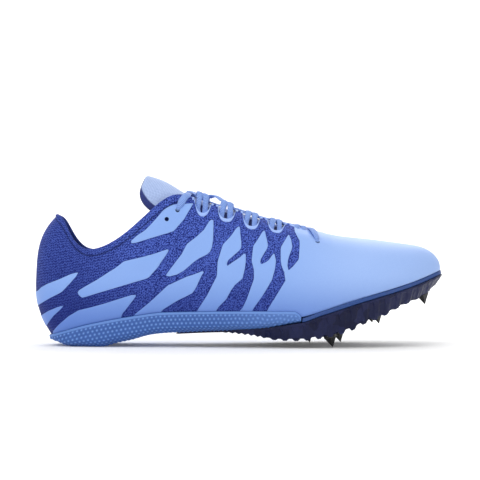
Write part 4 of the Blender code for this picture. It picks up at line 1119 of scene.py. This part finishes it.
plate_look, tree, shader, place = new_material("ribbed nylon")
moulded = grained(tree, place, 500.0)
worn = edge_wear(tree, 0.0005, 0.86, 0.99)
facet = node(tree, "ShaderNodeTexVoronoi", {"Vector": place, "Scale": 120.0, "Randomness": 0.8},
             distance="CHEBYCHEV")
shade = node(tree, "ShaderNodeSeparateXYZ", {0: facet.outputs["Color"]}).outputs["X"]
navy = blend(tree, shade, PLATE_DARK, PLATE_NAVY)
navy = blend(tree, maths(tree, "MULTIPLY", worn, 0.55), navy, PLATE_WORN)
lumps = maths(tree, "MULTIPLY_ADD", moulded, 0.05, facet.outputs["Distance"])
finish_look(tree, shader, navy, ramp(tree, moulded, 0.3, 0.9, 0.30, 0.46), lumps, 0.0016, 0.7)
shader.inputs["Specular IOR Level"].default_value = 0.22

pin_look, tree, shader, place = new_material("blackened steel")
streak = node(tree, "ShaderNodeMapping", {"Vector": place, "Scale": (1.0, 1.0, 0.12)}).outputs["Vector"]
brushed = grained(tree, streak, 2600.0)
worn = edge_wear(tree, 0.0003, 0.80, 0.98)
dark = blend(tree, ramp(tree, brushed, 0.3, 0.9), PIN_DARK, PIN_GREY)
steel = blend(tree, maths(tree, "MULTIPLY", worn, 0.5), dark, PIN_WORN)
finish_look(tree, shader, steel, ramp(tree, brushed, 0.3, 0.9, 0.24, 0.46), brushed, 0.00003)
shader.inputs["Metallic"].default_value = 0.9


def dress(name, material):
    """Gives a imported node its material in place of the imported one."""
    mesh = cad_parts[name].data
    mesh.materials.clear()
    mesh.materials.append(material)


dress("spike_plate", plate_look)
pins = [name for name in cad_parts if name.startswith("spike_") and name != "spike_plate"]
for name in pins:
    dress(name, pin_look)
print("Pins dressed:", len(pins))

# %% [markdown]
# The insole is a thin die-cut sheet of foam with brushed cloth on top. Its rim turns up
# slightly against the wall, and the cloth's nap is a fine noise with a velvet sheen.

# %% Insole
INSOLE_THICKNESS = 0.0030
INSOLE_TURN_UP = 0.2
INSOLE_COLUMNS = 260
SOCK_DARK = (0.020, 0.040, 0.190)
SOCK_BLUE = (0.045, 0.085, 0.330)

insole_look, tree, shader, place = new_material("brushed sock cloth")
nap = noise(tree, place, 900.0, 4.0)
sock_color = blend(tree, ramp(tree, nap, 0.3, 0.7), SOCK_DARK, SOCK_BLUE)
finish_look(tree, shader, sock_color, ramp(tree, nap, 0.3, 0.7, 0.80, 0.95), nap, 0.00012)
shader.inputs["Sheen Weight"].default_value = 0.25

insole_turn, _ = even_open(0, 2 * TOE_ROW, INSOLE_COLUMNS + 1)
insole_turn = insole_turn[:-1]
edge, way = outline(insole_turn), outward(insole_turn)
spine = middle(insole_turn)
brim = edge - way * (UPPER_WALL + CLEARANCE * 2)
inward = np.linspace(1, 0, 9)
top_plan = brim[:, None] + (spine - brim)[:, None] * inward[:, None]
top_height = seat(top_plan[..., 0]) + INSOLE_THICKNESS * (1 + INSOLE_TURN_UP * (1 - inward) ** 6)
low_plan = brim[:, None] + (spine - brim)[:, None] * inward[::-2, None]
insole_points = np.concatenate((leveled(top_plan, top_height), leveled(low_plan, seat(low_plan[..., 0]))), 1)
insole_faces = grid_quads(INSOLE_COLUMNS, insole_points.shape[1], True)
add_piece("sock_liner", centred(insole_points), insole_faces, insole_look, "insole_cloth", ["insole"], 2e-5)

# %% [markdown]
# Tongue and laces both cross the throat, so both use one surface over it: an arch that
# leaves each edge of the opening along the wall there, and runs on down the wall beyond.

# %% The surface over the throat
ARCH_HIGH = 0.62
ARCH_LOW = 0.28


def throat_arc(row, share, lift):
    """Share 0 is the outer edge of the opening and 1 the inner one, joined by a cubic whose
    end slopes follow the walls; beyond them it is the wall, in lengths of the opening.
    The point is moved off that surface by lift along its normal."""
    row, share, lift = np.broadcast_arrays(*(np.asarray(v, float) for v in (row, share, lift)))
    outer, inner = row, 2 * TOE_ROW - row
    one = np.ones_like(row)
    start, stop = upper_form(outer, one), upper_form(inner, one)
    opening = np.linalg.norm(stop - start, axis=-1)
    lower = np.clip((row - THROAT_TOP_ROW) / (THROAT_END_ROW - THROAT_TOP_ROW), 0, 1)
    steep = (opening * (ARCH_HIGH + (ARCH_LOW - ARCH_HIGH) * lower))[..., None]
    slope_in, slope_out = unit(edge_slope(outer)) * steep, -unit(edge_slope(inner)) * steep
    part = np.clip(share, 0, 1)[..., None]
    arch = ((1 + 2 * part) * (1 - part) ** 2 * start + part * (1 - part) ** 2 * slope_in
            + part ** 2 * (3 - 2 * part) * stop - part ** 2 * (1 - part) * slope_out)
    tilt = ((6 * part ** 2 - 6 * part) * (start - stop) + (1 - part) * (1 - 3 * part) * slope_in
            + part * (3 * part - 2) * slope_out)
    before = np.maximum(-share, 0) * opening / edge_speed(outer)
    after = np.maximum(share - 1, 0) * opening / edge_speed(inner)
    near = 0.02
    ahead = upper_form(outer + near, one) - upper_form(outer - near, one)
    beyond = upper_form(inner - near, one) - upper_form(inner + near, one)
    over = unit(np.cross(ahead * (1 - part) + beyond * part, tilt))
    on_outer, on_inner = (share < 0)[..., None], (share > 1)[..., None]
    on_left = upper_form(upright(outer, 1 - before), 1 - before)
    on_right = upper_form(upright(inner, 1 - after), 1 - after)
    point = np.where(on_outer, on_left, np.where(on_inner, on_right, arch))
    normal = np.where(on_outer, form_normal(outer, 1 - before),
                      np.where(on_inner, form_normal(inner, 1 - after), over))
    return point + normal * lift[..., None], normal


print("Top of the throat's arch, mm:", np.round(centred(throat_arc(8.15, 0.5, 0)[0]) * 1000, 1))

# %% [markdown]
# The tongue is a soft pad of woven cloth over foam with a dark knitted lining. It lies in
# the throat and its free end stands up behind the collar: the middle rises to a rounded
# tip, while the flanks run straight back, so its hem curls round the front of the ankle.
# The lining turns over at the hem's corners, and along the flanks, under the eyestay, the
# face takes the lining's dark colour as painted shade.

# %% Tongue
TONGUE_THICKNESS = 0.0038
TONGUE_OVERLAP = 0.0212
TONGUE_WING = 0.0130
WING_TUCK = 0.0009
TONGUE_REACH = 0.0255
TONGUE_LIFT = 0.0120
TONGUE_FLANK = 0.90
TONGUE_TURN = 0.20
TONGUE_DRAW = 0.10
TONGUE_ARCH = 0.0018
TONGUE_FULL = 0.0011
LACE_ROOM = 0.0009
TONGUE_SOFTEN = 30
TONGUE_ROWS = 90
FREE_ROWS = 60
TONGUE_COLUMNS = 97
TONGUE_EDGE = 0.0022
HEM_LINING = 0.0007
CORNER_LINING = 0.0100
TONGUE_TAIL = 0.006
TAIL_ROWS = 8

rows = np.linspace(THROAT_TOP_ROW + 0.15, THROAT_END_ROW - 0.03, TONGUE_ROWS)
opening = 2 * both_sides("gap", rows) * BALL_WIDTH
high = np.clip((THROAT_TOP_ROW + 3 - rows) / 3, 0, 1)
wing = ((TONGUE_OVERLAP + (TONGUE_WING - TONGUE_OVERLAP) * high) / opening)[:, None]
place_across = np.linspace(0, 1, TONGUE_COLUMNS)
share = np.interp(place_across, (0, 0.2, 0.8, 1), (-1, 0, 1, 2))
share = np.where(share < 0, share * wing, np.where(share > 1, 1 + (share - 1) * wing, share))
tuck = WING_TUCK * (np.clip(np.abs(2 * share - 1) - 1, 0, None) / (2 * wing)) ** 2
fuller = TONGUE_FULL * smooth_step(0.0, 0.35, np.minimum(share, 1 - share))
room = LACE_ROOM * smooth_step(0.0, -0.15, np.minimum(share, 1 - share))
depth = UPPER_WALL + CLEARANCE * 3 + tuck + TONGUE_THICKNESS / 2 - fuller + room
tongue_middle, _ = throat_arc(rows[:, None], share, -depth)
onward = np.linspace(0, 1, TAIL_ROWS + 1)[1:, None, None] * np.array((TONGUE_TAIL, 0, -TONGUE_TAIL / 4))
tongue_middle = np.concatenate((tongue_middle, tongue_middle[-1] + onward))

rise = np.linspace(1, 0, FREE_ROWS + 1)[:-1]
across = 2 * place_across - 1
longer = 1 + TONGUE_FLANK * across ** 2 - (TONGUE_FLANK + TONGUE_TURN) * across ** 4
higher = np.cos(across * np.pi / 2) ** 2
reach = np.stack((-TONGUE_REACH * longer, 0 * across, TONGUE_LIFT * higher), 1)
arched = np.sin(np.pi * rise)[:, None] * higher * TONGUE_ARCH
first = tongue_middle[0]
narrower = (first - first.mean(0)) * np.array((0, 1, 0)) * TONGUE_DRAW
free = first + reach * rise[:, None, None] - narrower * rise[:, None, None]
free[..., 2] += arched
tongue_middle = np.concatenate((free, tongue_middle))
for _ in range(TONGUE_SOFTEN):
    between = (tongue_middle[:, :-2] + tongue_middle[:, 2:]) / 2
    tongue_middle[:, 1:-1] = (tongue_middle[:, 1:-1] + between) / 2
tongue_normal = grid_normals(tongue_middle)
tongue_normal = tongue_normal * np.sign(tongue_normal[TONGUE_ROWS // 2 + FREE_ROWS, TONGUE_COLUMNS // 2, 2])
run_down, run_side = travelled(tongue_middle), travelled(tongue_middle, 1)
from_side = np.minimum(run_side, run_side[:, -1:] - run_side)
edge_room = np.minimum(np.minimum(run_down, from_side), run_down[-1:] - run_down)
swell = np.sqrt(1 - (1 - np.clip(edge_room / TONGUE_EDGE, 0, 1)) ** 2)
pad = TONGUE_THICKNESS / 2 * swell
over_face = tongue_middle + tongue_normal * pad[..., None]
under_face = tongue_middle - tongue_normal * pad[..., None]
tongue_points = np.concatenate((over_face, under_face[:, ::-1]), 1)
turned = HEM_LINING + CORNER_LINING * np.clip((np.abs(across) - 0.45) / 0.55, 0, 1)
# Painted shade: the face's flanks, which lie under the eyestay, take the lining's dark colour.
flank_shade = smooth_step(0.03, -0.02, np.minimum(share, 1 - share))
flank_shade = np.concatenate((flank_shade, np.repeat(flank_shade[-1:], TAIL_ROWS, 0)))
lining_and_flank_shade = smooth_step(0.0003, -0.0003, run_down - turned)
lining_and_flank_shade[FREE_ROWS + 4:] = np.maximum(lining_and_flank_shade[FREE_ROWS + 4:], flank_shade[4:])
tongue_lining_and_shade = np.concatenate((lining_and_flank_shade, np.ones_like(run_down)), 1)
tongue_faces = grid_quads(len(tongue_points), tongue_points.shape[1]).tolist()

tongue_look, tree, shader, place = new_material("woven tongue cloth")
side_way, down_way = field(tree, "side"), field(tree, "down")
WEAVE = 0.0021
FACE_COLORS = ((0.290, 0.400, 0.700), (0.500, 0.620, 0.910))
BACK_AND_SHADE_COLORS = ((0.008, 0.014, 0.100), (0.022, 0.042, 0.250))
diagonal = maths(tree, "MULTIPLY", maths(tree, "ADD", side_way, down_way), 2 * np.pi / WEAVE)
counter = maths(tree, "MULTIPLY", maths(tree, "SUBTRACT", side_way, down_way), 2 * np.pi / WEAVE)
twill = maths(tree, "MULTIPLY", maths(tree, "SINE", diagonal), maths(tree, "SINE", counter))
twill = maths(tree, "MULTIPLY_ADD", twill, 0.5, 0.5)
fuzz = noise(tree, place, 1500.0, 3.0)
thread = maths(tree, "MULTIPLY_ADD", fuzz, 0.5, maths(tree, "MULTIPLY", twill, 0.6))
face_color = blend(tree, ramp(tree, thread, 0.35, 0.75), *FACE_COLORS)
back_and_shade_color = blend(tree, ramp(tree, thread, 0.25, 0.85), *BACK_AND_SHADE_COLORS)
# The lining field gives the back its real dark lining and the flanks their painted shade.
tongue_color = blend(tree, field(tree, "lining"), face_color, back_and_shade_color)
finish_look(tree, shader, tongue_color, ramp(tree, thread, 0.2, 0.9, 0.75, 0.92), thread, 0.00025)
shader.inputs["Sheen Weight"].default_value = 0.2
tongue = add_piece("tongue_pad", centred(tongue_points), tongue_faces, tongue_look,
                   "tongue_cloth", ["tongue"], 2e-5, lining=tongue_lining_and_shade,
                   side=np.concatenate((run_side, run_side[:, ::-1]), 1),
                   down=np.concatenate((run_down, run_down[:, ::-1]), 1))

# %% [markdown]
# The lace is one flat woven band on each side of the crossings. It comes out of the top
# eyelet, crosses the tongue, drops into a notch, turns under the eyestay there and comes
# up again beside itself, five times over, and ends inside the bottom eyelet. The puffs
# are how high it stands off at each of its seven stations, and the over lifts are how far
# the upper strand clears the lower at each of the six crossings.

# %% Route of the lace
LACE_WIDTH = 0.0048
LACE_THICKNESS = 0.0012
LACE_LIFT = 0.0010
LACE_SPREAD = 0.0029
LACE_CLOSED = 0.72
UNDER_LIFT = -0.0026
LACE_SAG = 0.0018
PUFFS = (0.0, 0.0050, 0.0038, 0.0014, 0.0012, 0.0003, 0.0)
PUFF_REACH = 0.0036
OVER_LIFT = (0.0004, 0.0040, 0.0, 0.0, 0.0, 0.0)
LACE_STEP = 0.0007
LACE_CLEAR = 0.0012
LACE_END = -0.0011
EYELET_WIDTH = 0.55
FOLDED_WIDTH = 0.78
LAST_CROSSING = 0.35


def on_throat(row, side, down, lift):
    """A point down the wall beside the throat, in metres from the edge of the opening."""
    row, side, down, lift = np.broadcast_arrays(row, side, down, lift)
    start, stop = upper_form(row, 1.0), upper_form(2 * TOE_ROW - row, 1.0)
    opening = np.linalg.norm(stop - start, axis=-1)
    share = np.where(side < 0.5, -down / opening, 1 + down / opening)
    return throat_arc(row, share, lift)


def lace_strand(first_side):
    """Every point of one strand, the surface's normal there and the share of the full
    width. Crossings are straight runs in row and share that sag to the tongue. At each
    notch the band puffs up, dives down inside and turns in a half circle."""
    points, normals, widths = [], [], []

    def add(place_and_normal, width, raised=0.0):
        point, normal = place_and_normal
        point[:, 2] += raised
        points.append(point)
        normals.append(normal)
        widths.append(np.broadcast_to(width, len(point)))

    def leg(way, down, number, end):
        deep = down / end
        apart = LACE_CLOSED + (1 - LACE_CLOSED) * smooth_step(0.1, 0.7, deep)
        lift = LACE_LIFT + (UNDER_LIFT - LACE_LIFT) * smooth_step(0.20, 0.80, deep)
        puff = PUFFS[number] * np.exp(-(down / PUFF_REACH) ** 2)
        row = stations[number] + way * spreads[number] * apart
        add(on_throat(row, side, down, lift), 1 - (1 - FOLDED_WIDTH) * smooth_step(0, 0.4, deep), puff)

    side = first_side
    hole_row, hole_down = TOP_EYELET
    leave_row = stations[0] + spreads[0]
    part = np.linspace(0, 1, 30)
    lift = np.interp(part, (0, 0.03, 0.08, 0.2, 1), (LACE_END, -0.0004, 0.0008, 0.0014, LACE_LIFT))
    hidden = on_throat(hole_row + (leave_row - hole_row) * part, side, hole_down * (1 - part), lift)
    add(hidden, EYELET_WIDTH + (1 - EYELET_WIDTH) * smooth_step(0, 0.5, part))
    for number in range(6):
        leave_row = stations[number] + spreads[number] * (LACE_CLOSED if number else 1)
        meet_row = stations[number + 1] - spreads[number + 1] * LACE_CLOSED
        part = np.linspace(0, 1, 30)[1:-1]
        row = leave_row + (meet_row - leave_row) * (0.3 * part + 0.7 * smooth_step(0.08, 0.92, part))
        share = side + (1 - 2 * side) * part
        raise_over = side * (LACE_THICKNESS * 1.1 + OVER_LIFT[number])
        lift = LACE_LIFT + raise_over * np.sin(np.pi * part)
        width = np.linalg.norm(throat_arc(row[0], 1.0, 0)[0] - throat_arc(row[0], 0.0, 0)[0])
        raised = (PUFFS[number] * np.exp(-(part * width / PUFF_REACH) ** 2)
                  + PUFFS[number + 1] * np.exp(-((1 - part) * width / PUFF_REACH) ** 2)
                  - LACE_SAG * np.sin(np.pi * part) ** 0.7)
        add(throat_arc(row, share, lift), 1.0, raised)
        side = 1 - side
        if number == 5:
            break
        end = NOTCH_DEPTHS[number] - LACE_CLEAR
        down = np.linspace(0, end, 12)
        leg(-1, down, number + 1, end)
        angle = np.linspace(0, np.pi, 11)[1:-1]
        row = stations[number + 1] - spreads[number + 1] * np.cos(angle)
        add(on_throat(row, side, end + LACE_SPREAD * np.sin(angle), UNDER_LIFT), FOLDED_WIDTH)
        leg(1, down[::-1], number + 1, end)
    hole_row, hole_down = LOW_EYELET
    part = np.linspace(0, 1, 30)
    lift = np.interp(part, (0, 0.78, 0.91, 0.96, 1), (LACE_LIFT, 0.0013, 0.0008, -0.0004, LACE_END))
    hidden = on_throat(meet_row + (hole_row - meet_row) * part, side, hole_down * part, lift)
    add(hidden, EYELET_WIDTH + (1 - EYELET_WIDTH) * smooth_step(1, 0.6, part))
    return np.concatenate(points), np.concatenate(normals), np.concatenate(widths)


all_rows = np.linspace(0, TOE_ROW, 40 * TOE_ROW + 1)
notch_places = np.linspace(FIRST_NOTCH, LAST_NOTCH, NOTCH_COUNT)
notch_rows = np.interp(notch_places, both_sides("top", all_rows), all_rows)
stations = np.concatenate(((THROAT_TOP_ROW + 0.1,), notch_rows, (THROAT_END_ROW - LAST_CROSSING,)))
pace = (both_sides("top", stations + 0.1) - both_sides("top", stations - 0.1)) / 0.2 * LENGTH
spreads = LACE_SPREAD / pace
TOP_EYELET, LOW_EYELET = [(hole_row, (1 - hole_share) * float(edge_speed(hole_row)))
                          for hole_row, hole_share in eyelet_rows[1:]]
print("Lengths down to the eyelets, mm:", round(TOP_EYELET[1] * 1000, 1), round(LOW_EYELET[1] * 1000, 1))

# %% [markdown]
# The band's section is a flattened oval whose edges curl down a little. It is swept along
# the route, turned so that its flat side lies on the throat's surface, and a herringbone
# of fine ridges runs along it.

# %% Sweep the lace
LACE_CORNERS = 18
LACE_CURL = 0.0004
LACE_SMOOTHING = 3
LACE_RIDGE = 0.0011
LACE_DARK = (0.120, 0.230, 0.600)
LACE_BLUE = (0.290, 0.445, 0.880)


def even_path(points, normals, widths, step, rounds):
    """Evens a path out: each point moves toward its neighbours' middle a few times, and
    then points are taken at equal lengths."""
    for _ in range(rounds):
        points[1:-1] = points[1:-1] * 0.5 + (points[:-2] + points[2:]) * 0.25
        normals[1:-1] = normals[1:-1] * 0.5 + (normals[:-2] + normals[2:]) * 0.25
    length = travelled(points)
    at = np.linspace(0, length[-1], int(length[-1] / step))
    rows = np.column_stack((points, normals, widths))
    spaced = np.stack([np.interp(at, length, values) for values in rows.T], 1)
    return spaced[:, :3], spaced[:, 3:6], at, spaced[:, 6]


def lace_surface(first_side):
    """Points of the swept band, with the length along it and the share across it."""
    line, up, at, widths = even_path(*lace_strand(first_side), LACE_STEP, LACE_SMOOTHING)
    tangent = unit(np.gradient(line, axis=0))
    for _ in range(2):
        tangent[1:-1] = (tangent[:-2] + 2 * tangent[1:-1] + tangent[2:]) / 4
    wide = unit(np.cross(up, tangent))
    up = unit(np.cross(tangent, wide))
    angle = np.arange(LACE_CORNERS) * 2 * np.pi / LACE_CORNERS
    side = np.sign(np.cos(angle)) * np.abs(np.cos(angle)) ** 0.7
    high = np.sign(np.sin(angle)) * np.abs(np.sin(angle)) ** 0.8
    slack = 1 + 0.07 * np.sin(at / 0.0061 + first_side) + 0.05 * np.sin(at / 0.0027)
    across = side * LACE_WIDTH / 2 * (slack * widths)[:, None]
    ripple = 0.0002 * np.sin(at / 0.0043)[:, None] * side
    tall = high * LACE_THICKNESS / 2 - LACE_CURL * side ** 2 + ripple
    surface = line[:, None] + wide[:, None] * across[..., None] + up[:, None] * tall[..., None]
    return surface, np.broadcast_to(at[:, None], across.shape), np.broadcast_to(side, across.shape)


lace_corners, lace_faces = [], []
begin = 0
for first_side in (0, 1):
    surface, along_lace, across_lace = lace_surface(first_side)
    count = len(surface)
    quads = grid_quads(count, LACE_CORNERS)
    seam = np.arange(count - 1) * LACE_CORNERS
    close = np.stack((seam + LACE_CORNERS - 1, seam + 2 * LACE_CORNERS - 1, seam + LACE_CORNERS, seam), 1)
    lace_faces += (np.concatenate((quads, close)) + begin).tolist()
    lace_faces.append((np.arange(LACE_CORNERS) + begin).tolist())
    lace_faces.append((np.arange(LACE_CORNERS)[::-1] + begin + (count - 1) * LACE_CORNERS).tolist())
    lace_corners.append(np.dstack((surface, along_lace, across_lace)).reshape(-1, 5))
    begin += count * LACE_CORNERS
    print("Lace strand, metres:", round(float(along_lace.max()), 3))
lace_corners = np.concatenate(lace_corners)

lace_look, tree, shader, place = new_material("flat woven lace")
run_along = maths(tree, "MULTIPLY", field(tree, "along"), 2 * np.pi / LACE_RIDGE)
lean = maths(tree, "MULTIPLY", maths(tree, "ABSOLUTE", field(tree, "across")), 5.0)
ridge = maths(tree, "MULTIPLY_ADD", maths(tree, "SINE", maths(tree, "ADD", run_along, lean)), 0.5, 0.5)
fuzz = noise(tree, place, 1800.0, 3.0)
thread = maths(tree, "MULTIPLY_ADD", fuzz, 0.5, maths(tree, "MULTIPLY", ridge, 0.5))
lace_color = blend(tree, ramp(tree, thread, 0.2, 0.8), LACE_DARK, LACE_BLUE)
finish_look(tree, shader, lace_color, ramp(tree, thread, 0.2, 0.9, 0.70, 0.90), thread, 0.00022)
shader.inputs["Sheen Weight"].default_value = 0.2
crossings = [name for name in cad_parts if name.startswith("lace_crossing")]
add_piece("lace_band", centred(lace_corners[:, :3]), lace_faces, lace_look, "lace_cloth", crossings, None,
          along=lace_corners[:, 3], across=lace_corners[:, 4])
print("Lace crossings stood for:", len(crossings))
